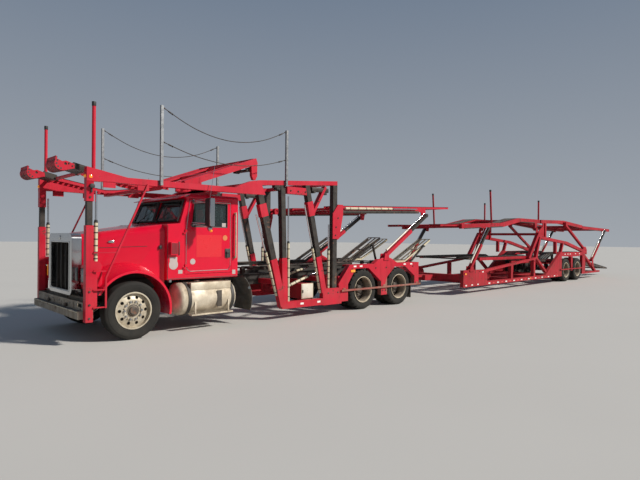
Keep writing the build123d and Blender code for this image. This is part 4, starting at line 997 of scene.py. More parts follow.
@dataclass
class TwinWheels:
    """Twin wheels: two tyres on white steel rims about a deep disc, hub and drum; the rims' wells are
    darkened as painted shade.
    """

    middles: tuple[float, float] = (-0.145, 0.145)
    well: tuple[Point, ...] = (
        (0.121, 0.3045), (0.126, 0.302), (0.126, 0.294), (0.11, 0.283), (0.055, 0.279), (0.03, 0.266),
        (-0.055, 0.266), (-0.11, 0.283), (-0.126, 0.294), (-0.126, 0.302), (-0.121, 0.3045), (-0.106, 0.292),
        (0.106, 0.292))
    lip: tuple[Point, ...] = ((0.1205, 0.3052), (0.1268, 0.3025), (0.1268, 0.2935), (0.1105, 0.2822),
                              (0.088, 0.2795), (0.088, 0.284), (0.106, 0.292))
    disc: tuple[Point, ...] = ((0.02, 0.272), (0.052, 0.25), (0.064, 0.215), (0.036, 0.178), (0.03, 0.11),
                               (0.014, 0.11), (0.018, 0.186), (0.048, 0.222), (0.036, 0.244), (0.0, 0.27))
    hub: tuple[Point, ...] = ((-0.1, 0.0), (-0.1, 0.115), (0.028, 0.125), (0.04, 0.17), (0.046, 0.17),
                              (0.05, 0.112), (0.115, 0.092), (0.15, 0.086), (0.158, 0.07), (0.158, 0.0))
    drum: tuple[Point, ...] = ((-0.255, 0.18), (-0.255, 0.205), (-0.15, 0.212), (-0.012, 0.205),
                               (-0.012, 0.1), (-0.1, 0.1))

    def parts(self) -> list[tuple[str, Look, str, Form]]:
        """Build what every twin wheel has besides its tyres.

        Returns:
            Each part's name, finish, slot and form.
        """
        wells, lips, holes = Form(), Form(), Form()
        for y in self.middles:
            wells.lathe([(y + dy, r) for dy, r in self.well], 72)
            for turn in (1, -1):
                lips.lathe([(y + turn * dy, r) for dy, r in self.lip], 72)
        hub = Form().lathe(self.hub, 48, closed=False).bolts(circle(10, 0.1425, 0.045, 0.5), 0.02, 0.03)
        hub.bolts(circle(8, 0.072, 0.157), 0.01, 0.01)
        # Dark discs on the wheel disc are painted shade for its hand holes.
        for spot in circle(10, 0.228, 0.0545):
            holes.rod(spot, spot + Vector((0, 0.0085, 0)), 0.024)
        return [("rims", RIM_WELL_SHADE, "", wells), ("rim_lips", RIM_WHITE, "", lips),
                ("disc", DISC_STEEL, "", Form().lathe(self.disc, 60)), ("hub", IRON, "", hub),
                ("drum", CHASSIS, "", Form().lathe(self.drum, 48)),
                ("hand_hole_shade_discs", RUBBER, "black_paint", holes)]

    def build(self) -> None:
        """Build the eight twin wheels."""
        lugged = RoadTyre().shape(Tread.LUGS)
        ribbed = RoadTyre(steps=88).shape(Tread.RIBS)
        parts = self.parts()
        for axle, stations, tyre in (("drive", DRIVE_X, lugged), ("trailer", TRAILER_X, ribbed)):
            for letter, x in zip("ab", stations):
                for side, sign in SIDES:
                    body = f"{axle}_wheel_{letter}_{side}"
                    place = wheel_place(x, DUAL_Y, sign)
                    pair = Form()
                    for y in self.middles:
                        pair.add(tyre, place @ Matrix.Translation((0, y, 0)))
                    pair.settle(f"{body}_tyres", TYRE, body, replaces=[body])
                    for name, look, slot, form in parts:
                        Form().add(form, place).settle(f"{body}_{name}", look, body, slot)


# Cab

@dataclass
class CabTrim:
    """Window rubbers, seams, handles, wipers, lamps, mirrors and blank patches of the cab and its doors."""

    gasket: tuple[Point, ...] = ((-1.11, 1.83), (-1.155, 2.27), (-1.85, 2.27), (-1.85, 1.83))
    seam: tuple[Point, ...] = (
        (-1.02, 1.08), (-1.0, 1.11), (-1.0, 1.78), (-1.068, 2.29), (-1.915, 2.29), (-1.915, 1.12),
        (-1.87, 1.05), (-1.075, 1.045), (-1.02, 1.08))

    def build(self) -> None:
        """Build the trim of the cab and both doors."""
        self.windscreen()
        self.door()
        self.mirror()
        self.flank()

    def door(self) -> None:
        """Build what each door carries."""
        Form().hoop([(x, 0.988, z) for x, z in self.gasket], 0.014).settle_both("window_rubber", RUBBER, DOOR)
        Form().pipe([(x, 1.001, z) for x, z in self.seam], 0.006, 6).settle_both("door_bead", CHROME, DOOR)
        handle = Form().block((-1.905, 1.0, 1.27), (-1.8, 1.012, 1.44), 0.005)
        handle.block((-1.885, 1.008, 1.35), (-1.82, 1.034, 1.385), 0.008)
        handle.settle_both("door_latch", RUBBER, DOOR)
        Form().block((-1.725, 1.0, 1.29), (-1.2, 1.0022, 1.69)).settle_both("door_panel", PANEL_RED, DOOR)
        for name, look, x, z, radius in (("door_blank_round", STICKER, -1.13, 1.215, 0.052),
                                         ("door_orange_round", STICKER_ORANGE, -1.8, 1.64, 0.05)):
            Form().across(x, z, (1.0, 1.003), radius, 28).settle_both(name, look, DOOR)
        label = Form().block((-1.85, 0.977, 1.835), (-1.745, 0.9795, 1.915))
        label.settle_both("window_blank_patch", STICKER, DOOR)

    def mirror(self) -> None:
        """Build each door's mirror head, its arms, lamp and aerial."""
        case = Form().block((-1.336, 1.194, 1.832), (-1.242, 1.378, 2.338), 0.026, 3)
        case.settle_both("mirror_case", RUBBER, DOOR, "chrome")
        edge = Form().block((-1.339, 1.362, 1.845), (-1.24, 1.384, 2.325), 0.008)
        edge.rod((-1.286, 1.3, 2.325), (-1.376, 1.3, 2.9), 0.004, 8).settle_both("mirror_edge", CHROME, DOOR)
        glass = Form().block((-1.34, 1.214, 1.86), (-1.333, 1.376, 2.31), 0.003)
        glass.settle_both("mirror_glass", MIRROR_GLASS, DOOR)
        arms = Form().pipe([(-1.105, 1.0, 1.88), (-1.285, 1.286, 1.835), (-1.285, 1.286, 2.335),
                            (-1.125, 1.0, 2.285)], 0.011)
        arms.across(-1.11, 1.86, (1.0, 1.03), 0.03, 12).across(-1.125, 2.29, (1.0, 1.028), 0.028, 12)
        arms.settle_both("mirror_arms", CHROME, DOOR)
        Form().ball((-1.29, 1.3, 1.8), (0.045, 0.055, 0.05), 18).settle_both("spot_mirror", CHROME, DOOR)
        Form().ball((-1.285, 1.345, 1.76), (0.026, 0.03, 0.024), 14).settle_both("mirror_lamp", AMBER, DOOR)

    def flank(self) -> None:
        """Build the fixed trim on each flank of the cab."""
        rail = Form().pipe([(-2.01, 1.0, 1.27), (-2.01, 1.046, 1.3), (-2.01, 1.046, 2.08),
                            (-2.01, 1.0, 2.11)], 0.0155, 12)
        rail.settle_both("grab_rail", RIM_ALLOY)
        vent = Form().block((-0.838, 1.055, 1.332), (-0.815, 1.077, 1.568), 0.004)
        for i in range(6):
            vent.block((-0.8 + 0.02 * i, 1.068, 1.356), (-0.79 + 0.02 * i, 1.073, 1.544))
        vent.settle_both("intake_grid", RUBBER)
        bead = Form().pipe([(-0.64, 1.0005, 0.925), (-2.09, 1.0005, 0.925)], 0.006, 6)
        bead.pipe([(-0.65, 1.0005, 0.93), (-0.65, 1.0005, 1.85)], 0.005, 6).settle_both("cab_seam", RUBBER)
        patches = Form().across(-0.76, 1.17, (1.0, 1.0026), 0.085, 24)
        for x0, z0, x1, z1 in ((-0.83, 1.18, -0.69, 1.3), (-0.93, 1.01, -0.85, 1.075),
                               (-2.035, 0.96, -1.965, 1.04)):
            patches.block((x0, 1.0, z0), (x1, 1.0025, z1))
        patches.settle_both("cab_blank_patches", STICKER)
        Form().across(-0.7, 0.89, (0.96, 1.01), 0.024).settle_both("step_lamp", LENS)

    def windscreen(self) -> None:
        """Build the windscreen's rubbers and wipers."""
        form, wipers = Form(), Form()
        for sign in (1, -1):
            form.hoop([(-0.865, sign * 0.02, 1.93), (-0.865, sign * 0.93, 1.93), (-0.985, sign * 0.92, 2.305),
                       (-0.985, sign * 0.02, 2.305)], 0.016)
        form.settle("windscreen_rubber", RUBBER)
        for y in (0.18, -0.62):
            wipers.rod((-0.845, y, 1.9), (-0.83, y, 1.925), 0.018, 12)
            wipers.rod((-0.838, y, 1.922), (-0.9, y + 0.36, 2.085), 0.007, 8)
            wipers.bar((-0.872, 1.985), (-0.95, 2.215), 0.01, (y + 0.2, y + 0.215))
        wipers.settle("wipers", RUBBER)


@dataclass
class CabInside:
    """Seats, dash and steering wheel inside the cab."""

    seat_y: float = 0.515
    seat_fill: float = 0.7
    dash: tuple[Point, ...] = ((-0.688, 1.25), (-0.688, 1.785), (-0.86, 1.795), (-0.985, 1.7),
                               (-0.96, 1.5), (-0.8, 1.25))

    def pad(self, low: Point, high: Point, swell: float) -> Form:
        """Build a crowned cushion between two corners.

        Args:
            low: Lowest corner.
            high: Highest corner.
            swell: How far its faces crown.

        Returns:
            The cushion's form.
        """
        part = bmesh.new()
        bmesh.ops.create_cube(part, size=1.0)
        bmesh.ops.subdivide_edges(part, edges=part.edges[:], cuts=7, use_grid_fill=True)
        size = [b - a for a, b in zip(low, high)]
        face = 0.499
        for vert in part.verts:
            grown = 1 + swell * math.prod(1 - (2 * c) ** 4 if abs(c) < face else 1.0 for c in vert.co)
            vert.co = Vector([c * s * (grown if abs(c) > face else 1.0) for c, s in zip(vert.co, size)])
        bevel(part, [e for e in part.edges if e.calc_face_angle(0) > 1.0], 0.02, 3)
        return Form().take(part, Matrix.Translation([(a + b) / 2 for a, b in zip(low, high)]))

    def build(self) -> None:
        """Build the inside."""
        for side, sign in SIDES:
            y = sign * self.seat_y
            for part, x0, x1, half, z0, z1, swell in (("cushion", -1.9, -1.43, 0.245, 1.19, 1.31, 0.1),
                                                      ("back", -2.005, -1.885, 0.225, 1.3, 1.9, 0.1),
                                                      ("headrest", -1.99, -1.9, 0.13, 1.905, 1.985, 0.12)):
                stands_for = ["cab_interior"] if (part, side) == ("cushion", "left") else []
                form = self.pad((x0, y - half, z0), (x1, y + half, z1), swell)
                form.settle(f"seat_{part}_{side}", SEAT, replaces=stands_for)
            base = Form().block((-1.85, y - 0.135, 0.957), (-1.47, y + 0.135, 1.192), 0.02)
            base.settle(f"seat_base_{side}", PLASTIC)
        dash = Form().plate(self.dash, (-0.93, 0.93), 0.018)
        dash.rod((-0.96, 0.5, 1.56), (-1.11, 0.5, 1.66), 0.028).settle("dash", PLASTIC)
        rim = [(0.014 * spot.z, 0.205 + 0.014 * spot.x) for spot in circle(10, 1.0, 0.0)]
        wheel = Form().lathe(rim, 44).block((-0.205, -0.008, -0.018), (0.205, 0.008, 0.018), 0.005)
        wheel.rod((0, -0.018, 0), (0, 0.016, 0), 0.058, 24)
        tilt = Matrix.Rotation(math.radians(-29), 4, "Y") @ Matrix.Rotation(QUARTER, 4, "Z")
        column = Form().add(wheel, Matrix.Translation((-1.118, 0.5, 1.664)) @ tilt)
        column.settle("steering_wheel", RUBBER, slot="interior")


# Front end

@dataclass
class FrontEnd:
    """Grille louvres, bonnet seams, lamps, bumper fittings and blank badge places."""

    louvres: int = 31
    louvre_pitch: float = 0.0245
    slat_pitch: float = 0.1125
    step_ribs: int = 54
    step_pitch: float = 0.04

    def build(self) -> None:
        """Build the front end's fittings."""
        louvres, slats = Form(), Form()
        for i in range(self.louvres):
            z = 0.79 + i * self.louvre_pitch
            louvres.block((0.642, -0.449, z), (0.66, 0.449, z + 0.006))
        louvres.settle("radiator_louvres", CHASSIS)
        for i in range(-3, 4):
            y = i * self.slat_pitch + 0.051
            slats.block((0.668, y, 0.782), (0.7, y + 0.01, 1.543), 0.002)
        slats.settle("grille_slats", DULL_CHROME)
        Form().hoop([(0.761, -0.462, 0.768), (0.761, -0.462, 1.557), (0.761, 0.462, 1.557),
                     (0.761, 0.462, 0.768)], 0.008).settle("grille_bead", CHROME)
        badge = Form().rod((0.759, 0, 1.625), (0.766, 0, 1.625), 0.038, 28, 0.002)
        badge.settle("grille_blank_badge", CHROME)
        self.bonnet()
        self.lamps()
        self.bumper()

    def flank(self, x: float) -> float:
        """Give the half width of the bonnet's flank at a station.

        Args:
            x: The station.

        Returns:
            The half width.
        """
        return 0.59 + (0.61 - x) / 1.2497 * 0.315

    def bonnet(self) -> None:
        """Build the bonnet's side beads, latches and blank badges."""
        line = [(x, self.flank(x) + 0.001, z) for x, z in ((0.56, 1.455), (-0.36, 1.487))]
        Form().pipe(line, 0.004, 6).mirrored().settle("bonnet_beads", RUBBER)
        rear = self.flank(-0.56)
        latches = Form()
        for low, high in ((rear - 0.008, rear + 0.03), (-rear - 0.008, -rear + 0.008)):
            latches.block((-0.59, low, 1.44), (-0.545, high, 1.5), 0.004)
        latches.settle("bonnet_latches", RUBBER)
        badge = Form().ball((0.17, self.flank(0.17) + 0.001, 1.56), (0.075, 0.007, 0.024), 20)
        badge.mirrored().settle("bonnet_blank_badges", CHROME)

    def lamps(self) -> None:
        """Build the head lamps' rims and lenses, and the turn lamps."""
        rims, lenses = Form(), Form()
        for y, half in ((0.735, 0.082), (0.925, 0.072)):
            rims.block((0.634, y - half - 0.012, 0.916), (0.648, y + half + 0.012, 1.146), 0.006)
            lenses.block((0.644, y - half, 0.93), (0.655, y + half, 1.132), 0.004)
        rims.mirrored().settle("head_lamp_rims", DULL_CHROME)
        lenses.mirrored().settle("head_lamp_lenses", LENS)
        turns = Form().block((0.634, 1.022, 0.93), (0.653, 1.078, 1.13), 0.006)
        turns.mirrored().settle("turn_lamps", AMBER)

    def bumper(self) -> None:
        """Build the bumper's bolts, step and hooks."""
        spots = [(0.775, y, 0.6) for y in (-1.05, -0.62, -0.28, 0.05, 0.56, 0.86)]
        Form().bolts(spots, 0.014, 0.01, (1, 0, 0)).settle("bumper_bolts", GALVANISED)
        ribs = Form()
        for i in range(self.step_ribs):
            y = -1.08 + i * self.step_pitch
            ribs.block((0.782, y, 0.5195), (0.838, y + 0.012, 0.5235))
        ribs.settle("bumper_step_ribs", GALVANISED)
        # A cream rod along the step's front edge is a painted highlight on the lip.
        Form().across(0.846, 0.512, (-1.108, 1.108), 0.0085, 10).settle("bumper_step_painted_highlight", CREAM)
        hooks = Form().rod((0.64, 0.43, 0.48), (0.8, 0.43, 0.56), 0.016, 12)
        hooks.ball((0.8, 0.43, 0.56), (0.03, 0.022, 0.03), 14).mirrored().settle("tow_hooks", IRON)


# Side fittings

@dataclass
class SideFittings:
    """Fuel tanks with their straps, steps and caps, quarter wings and the side box."""

    tank_y: float = 0.87
    tank_z: float = 0.56
    tank_rear: float = -2.0
    tank_length: float = 1.2
    dome: tuple[Point, ...] = ((0.0, 0.0), (0.004, 0.1), (0.016, 0.19), (0.04, 0.255), (0.07, 0.284),
                               (0.095, 0.29))
    strap: tuple[Point, ...] = ((-0.03, 0.29), (-0.03, 0.301), (0.03, 0.301), (0.03, 0.29))
    cap: tuple[Point, ...] = ((0.0, 0.0), (0.0, 0.046), (0.03, 0.052), (0.04, 0.044), (0.04, 0.0))
    rib_pitch: float = 0.032

    def build(self) -> None:
        """Build the side fittings on both sides."""
        profile = [*self.dome, *((self.tank_length - y, r) for y, r in reversed(self.dome))]
        rear = Matrix.Translation((self.tank_rear, self.tank_y, self.tank_z))
        tank = Form().lathe(profile, 72, closed=False, matrix=rear @ Matrix.Rotation(-QUARTER, 4, "Z"))
        tank.mirrored().settle("fuel_tank_shells", TANK_ALLOY, replaces=["fuel_tanks"])
        straps = Form()
        for x in (-1.0, -1.88):
            turn = Matrix.Translation((x, self.tank_y, self.tank_z)) @ Matrix.Rotation(QUARTER, 4, "Z")
            straps.lathe(self.strap, 64, matrix=turn)
            straps.block((x - 0.03, 0.475, 0.7), (x + 0.03, 0.66, 0.8), 0.004)
            straps.rod((x, self.tank_y, 0.855), (x, self.tank_y, 0.885), 0.012, 10)
        straps.mirrored().settle("tank_straps", RUBBER)
        self.steps()
        turn = Matrix.Translation((-1.25, 0.93, 0.838)) @ Matrix.Rotation(QUARTER, 4, "X")
        Form().lathe(self.cap, 28, closed=False, matrix=turn).mirrored().settle("tank_caps", CHROME)
        for name, look, low, high, rounding in (
                ("tank_wear_plates", DARK_STEEL, (-1.64, 1.149, 0.4), (-1.54, 1.162, 0.69), 0.003),
                ("side_box_doors", WHITE, (-3.945, 1.121, 0.385), (-3.635, 1.129, 0.675), 0.004),
                ("side_box_latches", DARK_STEEL, (-3.66, 1.128, 0.5), (-3.64, 1.142, 0.56), 0.003)):
            Form().block(low, high, rounding).mirrored().settle(name, look)
        lamp = Form().rod((-2.24, 1.176, 0.7), (-2.222, 1.196, 0.7), 0.026, 18)
        lamp.mirrored().settle("quarter_wing_lamps", LENS)

    def steps(self) -> None:
        """Build the steps above and below the tanks."""
        steps = Form().block((-1.86, 1.085, 0.276), (-1.01, 1.198, 0.304), 0.006)
        steps.block((-1.85, 0.995, 0.82), (-1.03, 1.122, 0.848), 0.006)
        steps.block((-1.85, 1.1, 0.715), (-1.03, 1.124, 0.845), 0.006)
        for x in (-1.1, -1.78):
            steps.bar((x, 0.29), (x, 0.52), 0.03, (1.15, 1.168), 0.003)
        for i in range(26):
            x = -1.845 + i * self.rib_pitch
            steps.block((x, 1.092, 0.3035), (x + 0.01, 1.192, 0.3075))
            steps.block((x, 1.0, 0.8475), (x + 0.01, 1.112, 0.8515))
        steps.mirrored().settle("tank_steps", TANK_ALLOY)


# Rack and decks

@dataclass
class SafetyLines:
    """Four lines that hang between the galvanised posts, and their end fittings."""

    posts: tuple[float, float] = (-0.395, -3.06)
    post_half: float = 0.0225
    line_y: float = 1.2635
    radius: float = 0.007
    gap: float = 0.0003
    shares: tuple[float, ...] = (0, 0.12, 0.26, 0.42, 0.58, 0.74, 0.88, 1)
    heights: tuple[tuple[str, float, float], ...] = (("upper", 3.765, 3.39), ("lower", 3.205, 2.965))

    def route(self, high: float, low: float) -> list[Vector]:
        """Give the left line's control points.

        Args:
            high: Its height at the posts.
            low: Its lowest height.

        Returns:
            The points, from the front post to the rear one.
        """
        first = self.posts[0] - self.post_half
        last = self.posts[1] + self.post_half
        slope = 4 * (high - low) * (1 - self.shares[1]) / (first - last)
        setback = self.radius * slope + self.gap
        first -= setback
        last += setback
        return [Vector((first - (first - last) * s, self.line_y, high - (high - low) * 4 * s * (1 - s)))
                for s in self.shares]

    def line(self, name: str, stand_in: str, points: Sequence[Point]) -> None:
        """Build one line as a cord.

        Args:
            name: The piece's name.
            stand_in: The solid that it stands for.
            points: Its control points, in the frame.
        """
        curve = bpy.data.curves.new(name, "CURVE")
        curve.dimensions = "3D"
        curve.bevel_depth = self.radius
        curve.bevel_resolution = 3
        curve.resolution_u = 12
        curve.use_fill_caps = True
        spline = curve.splines.new("NURBS")
        spline.points.add(len(points) - 1)
        for point, spot in zip(spline.points, points):
            point.co = (*spot, 1.0)
        spline.order_u = 3
        spline.use_endpoint_u = True
        curve.materials.append(DARK_STEEL.material())
        piece = place_object(name, curve, "tractor", [stand_in])

    def build(self) -> None:
        """Build the lines and their fittings."""
        fittings = Form()
        for name, high, low in self.heights:
            points = self.route(high, low)
            for side, sign in SIDES:
                self.line(f"line_{name}_{side}", f"safety_line_{name}_{side}",
                          [(spot.x + AXLE_X, sign * spot.y, spot.z) for spot in points])
            for near, far in ((points[0], points[1]), (points[-1], points[-2])):
                run = (far - near).normalized()
                for start, end, radius in ((0.002, 0.03, 0.012), (0.1, 0.155, 0.0125), (0.17, 0.185, 0.015)):
                    fittings.rod(near + run * start, near + run * end, radius, 12)
        fittings.mirrored().settle("line_fittings", DARK_STEEL)


@dataclass(frozen=True)
class TrackRun:
    """Punched floor of a wheel track, on both sides.

    Its node is the solid that it belongs to, and its points are the (x, z) places of its top.
    """

    node: str
    points: tuple[Point, ...]
    look: Finish = TRACK_STEEL
    thickness: float = 0.01
    rows: int = 4
    pitch: float = 0.1
    rim: float = 0.026
    inner: float = 0.56
    outer: float = 0.96

    def spans(self) -> list[tuple[Point, Point]]:
        """Give the straight spans, each from its front point to its rear one.

        Returns:
            The (front, rear) points.
        """
        return list(zip(self.points, self.points[1:]))

    def is_floor(self, face: bmesh.types.BMFace) -> bool:
        """Tell whether a face of the solid is this track's plain floor.

        Args:
            face: A face of the joined copy.

        Returns:
            True if it lies in the floor's top or underside.
        """
        spot = face.calc_center_median()
        if not (self.inner + 0.02 < abs(spot.y) < self.outer - 0.02) or abs(face.normal.z) < 0.7:
            return False
        x = spot.x - AXLE_X
        for front, rear in self.spans():
            if rear[0] <= x <= front[0]:
                line = front[1] + (rear[1] - front[1]) * (x - front[0]) / (rear[0] - front[0])
                return -self.thickness - 0.006 < spot.z - line < 0.004
        return False

    def build(self) -> None:
        """Build the punched plates."""
        form = Form()
        for start, end in self.spans():
            length = math.dist(start, end)
            part = bmesh.new()
            bmesh.ops.create_grid(part, x_segments=max(1, round(length / self.pitch)), y_segments=self.rows,
                                  size=0.5)
            bmesh.ops.scale(part, vec=(length, self.outer - self.inner, 1), verts=part.verts)
            holes = part.faces[:]
            bmesh.ops.inset_individual(part, faces=holes, thickness=self.rim, depth=0.0, use_even_offset=True)
            bmesh.ops.delete(part, geom=holes, context="FACES")
            sweep_verts(part, part.faces[:], (0, 0, -self.thickness))
            form.take(part, along(end, start, (self.inner + self.outer) / 2))
        form.mirrored().settle(f"{self.node}_plate_{TRACK_RUNS.index(self)}", self.look,
                               frame["nodes"][self.node]["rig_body"])


TRACK_RUNS = (
    TrackRun("head_deck", ((0.628, 2.676), (0.178, 2.596), (0.0, 2.54), (-0.181, 2.513), (-0.423, 2.531),
                           (-0.655, 2.568), (-0.875, 2.551)), FRAME_RED),
    TrackRun("loading_tracks", ((-2.48, 1.07), (-5.25, 1.09), (-6.4, 1.69)), rows=3, pitch=0.62, rim=0.024),
    TrackRun("loading_tracks", ((-6.46, 1.1), (-7.42, 1.1), (-8.6, 1.66)), KHAKI_TRACK, rows=3,
             pitch=0.62, rim=0.024),
    TrackRun("rear_deck", ((-4.8, 2.4), (-9.52, 2.6))),
    TrackRun("trailer_front_deck", ((-9.12, 2.1), (-10.3, 2.12), (-12.7, 2.23), (-13.9, 2.43),
                                    (-15.65, 2.43))),
    TrackRun("trailer_mid_deck", ((-15.78, 2.44), (-18.0, 2.48), (-20.12, 2.34)), DARK_STEEL),
    TrackRun("tail_deck", ((-20.2, 2.32), (-22.8, 2.27), (-23.8, 2.25))),
    # The trailer's lower track plates take the near-black steel, darker than the other tracks, partly as
    # painted shade for the trailer's shaded inside.
    TrackRun("trailer_tracks", ((-10.65, 1.105), (-14.7, 1.105), (-15.3, 0.9), (-16.5, 0.9),
                                (-17.3, 1.18), (-19.9, 1.18), (-20.2, 1.0)), DARK_STEEL),
    TrackRun("rear_ramp", ((-20.44, 0.782), (-20.6, 0.8), (-22.5, 0.56), (-24.0, 0.35)),
             thickness=0.012),
)


@dataclass
class CylinderSet:
    """Cylinders of a rack or deck, as three forms: barrels, their bands, and rods."""

    def __post_init__(self) -> None:
        """Start with no cylinder."""
        self.barrels, self.rods, self.bands = Form(), Form(), Form()

    def add(self, foot: Point, head: Point, share: float, y: float = 1.185) -> None:
        """Add a cylinder's barrel, its rod and the bands round it.

        Args:
            foot: (x, z) of its foot.
            head: (x, z) of its head.
            share: Share of the length that the barrel takes.
            y: Its place across the vehicle.
        """
        a, b = Vector((foot[0], y, foot[1])), Vector((head[0], y, head[1]))
        run = (b - a).normalized()
        mouth = a + (b - a) * share
        self.barrels.rod(a + run * 0.02, mouth, 0.0285, 20)
        for step in (0.1, 0.26, 0.42, 0.58, 0.74, 0.9, 1.0):
            spot = a + (mouth - a) * step
            self.bands.rod(spot - run * 0.008, spot + run * 0.008, 0.0312, 20)
        self.rods.rod(mouth - run * 0.01, b - run * 0.005, 0.0155, 18)
        self.bands.rod(mouth, mouth + run * 0.035, 0.024, 18)

    def settle(self, barrels: str, rods: str, bands: str, body: str, replaces: Sequence[str] = ()) -> None:
        """Make the cylinders pieces of the scene, on both sides.

        Args:
            barrels: Name of the barrels.
            rods: Name of the rods.
            bands: Name of the bands.
            body: The body that they ride on.
            replaces: Solids that the barrels stand for.
        """
        self.barrels.mirrored().settle(barrels, CREAM, body, replaces=replaces)
        self.rods.mirrored().settle(rods, CHROME_ROD, body)
        self.bands.mirrored().settle(bands, RUBBER, body)


@dataclass
class RackTrim:
    """Locking holes, cylinders, lamps and bolts of the front rack and the tower."""

    hole_pitch: float = 0.075
    hump: tuple[Point, ...] = ((-5.78, 1.03), (-5.93, 1.105), (-6.11, 1.178), (-6.3, 1.205),
                               (-6.49, 1.178), (-6.65, 1.105), (-6.8, 1.03))
    bracket: tuple[Point, ...] = ((-2.25, 2.985), (-2.44, 3.05), (-2.44, 2.96), (-2.39, 2.925),
                                  (-2.27, 2.925))

    def build(self) -> None:
        """Build the rack's trim."""
        self.holes()
        cylinders = CylinderSet()
        for foot, head, share, y in (
                ((0.612, 1.25), (0.612, 2.34), 0.56, 1.185), ((-2.9, 0.48), (-2.372, 2.1), 0.55, 1.185),
                ((-3.2, 0.34), (-3.185, 2.5), 0.56, 1.185), ((-4.11, 0.455), (-3.63, 2.35), 0.52, 1.185),
                ((-4.345, 0.545), (-4.345, 1.96), 0.6, 1.185), ((-3.06, 0.56), (-4.23, 0.93), 0.72, 1.0),
                ((-3.2, 0.79), (-4.28, 1.04), 0.72, 0.74)):
            cylinders.add(foot, head, share, y)
        cylinders.settle("cylinder_barrels", "cylinder_rods", "cylinder_bands", "tractor", ["post_cylinders"])
        blocks = Form()
        for x0, x1 in ((-4.29, -3.8), (-3.02, -2.79)):
            blocks.block((x0, 1.14, 2.64), (x1, 1.232, 2.73), 0.004)
            blocks.block((x0 + 0.05, 1.15, 2.59), (x0 + 0.13, 1.226, 2.645), 0.004)
            blocks.across(x1 - 0.07, 2.63, (1.14, 1.238), 0.026)
        blocks.mirrored().settle("tower_blocks", DARK_STEEL)
        Form().plate(self.hump, (1.196, 1.2385), 0.004).mirrored().settle("wheel_panel_humps", FRAME_RED)
        gear = Form().plate(self.bracket, (0.985, 1.01), 0.003).plate(self.bracket, (0.56, 0.585), 0.003)
        gear.across(-2.3, 2.955, (0.56, 1.012), 0.022, 18)
        gear.mirrored().settle("cab_ramp_end_brackets", DARK_STEEL, "over_cab_ramp")
        roller = Form().across(-2.395, 2.965, (0.59, 0.98), 0.026, 20, 0.004)
        roller.mirrored().settle("cab_ramp_rollers", GALVANISED, "over_cab_ramp")
        self.lamps()
        self.bolts()

    def holes(self) -> None:
        """Build the rows of locking holes down the posts' outer faces as dark discs, painted shade for the
        holes' hollow insides.
        """
        form = Form()
        for top, bottom, y in (
                ((0.715, 2.16), (0.715, 1.82), 1.222), ((-2.564, 2.04), (-2.772, 1.27), 1.24),
                ((-3.01, 2.46), (-3.045, 1.28), 1.24), ((-3.811, 2.1), (-4.0, 1.27), 1.24),
                ((-4.49, 2.76), (-4.49, 2.43), 1.24), ((-4.49, 1.62), (-4.49, 0.74), 1.24)):
            length = math.dist(top, bottom)
            for i in range(1, int(length / self.hole_pitch)):
                share = i * self.hole_pitch / length
                x, z = (a + (b - a) * share for a, b in zip(top, bottom))
                form.across(x, z, (y - 0.004, y + 0.0012), 0.016, 10)
        form.mirrored().settle("post_hole_shade_discs", RUBBER, slot="black_paint")

    def lamps(self) -> None:
        """Build the marker lamps and reflectors of the tractor."""
        amber = Form().block((0.764, 1.15, 2.52), (0.79, 1.215, 2.566), 0.01)
        amber.block((0.69, 1.2335, 2.515), (0.735, 1.252, 2.56), 0.008)
        amber.block((-5.155, 1.24, 0.88), (-5.015, 1.256, 0.94), 0.007)
        amber.mirrored().settle("amber_lamps", AMBER)
        side = Form().across(0.7, 2.395, (1.236, 1.29), 0.036, 20, 0.005)
        side.block((0.69, 1.234, 2.3), (0.712, 1.262, 2.395), 0.004)
        side.mirrored().settle("post_side_lamps", RUBBER)
        white, low = Form(), Form()
        for x in (-5.16, -5.37, -7.05, -7.33):
            white.block((x - 0.045, 1.2398, 0.995), (x + 0.045, 1.2418, 1.03))
        white.mirrored().settle("white_reflectors", REFLECT_WHITE)
        for x in (-3.48, -3.96):
            low.block((x - 0.1, 1.2398, 0.275), (x - 0.01, 1.2415, 0.315))
        low.mirrored().settle("low_rail_reflectors", REFLECT_WHITE)

    def bolts(self) -> None:
        """Build the bolts of the posts, panels and brackets, and the masts' caps."""
        spots = [(0.715, 1.234, z) for z in (0.42, 0.62, 0.82, 2.23, 2.4)]
        spots += [(x, 1.24, 0.955) for x in (-5.06, -5.5, -5.9, -6.3, -6.9, -7.4)]
        spots += [(x, 1.264, z) for x, z in ((-4.48, 1.72), (-4.5, 1.9), (-4.56, 2.1))]
        spots += [(x, 1.24, z) for x, z in ((-6.18, 0.4), (-6.28, 0.4), (-4.3, 0.46), (-4.6, 0.46),
                                             (-3.2, 2.61), (-3.4, 2.61), (-3.6, 2.61))]
        Form().bolts(spots, 0.017, 0.012).mirrored().settle("rack_bolts", DARK_STEEL)
        caps = Form().rod((0.655, 1.19, 3.6), (0.655, 1.19, 3.668), 0.031, 18, 0.004)
        caps.mirrored().settle("mast_caps", RUBBER)
        spots = [(x, 1.2868, z + dz) for x, z in ((-0.395, 2.5), (-3.06, 2.69)) for dz in (0.06, 0.14)]
        Form().bolts(spots, 0.01, 0.003).mirrored().settle("line_post_bolts", GALVANISED)


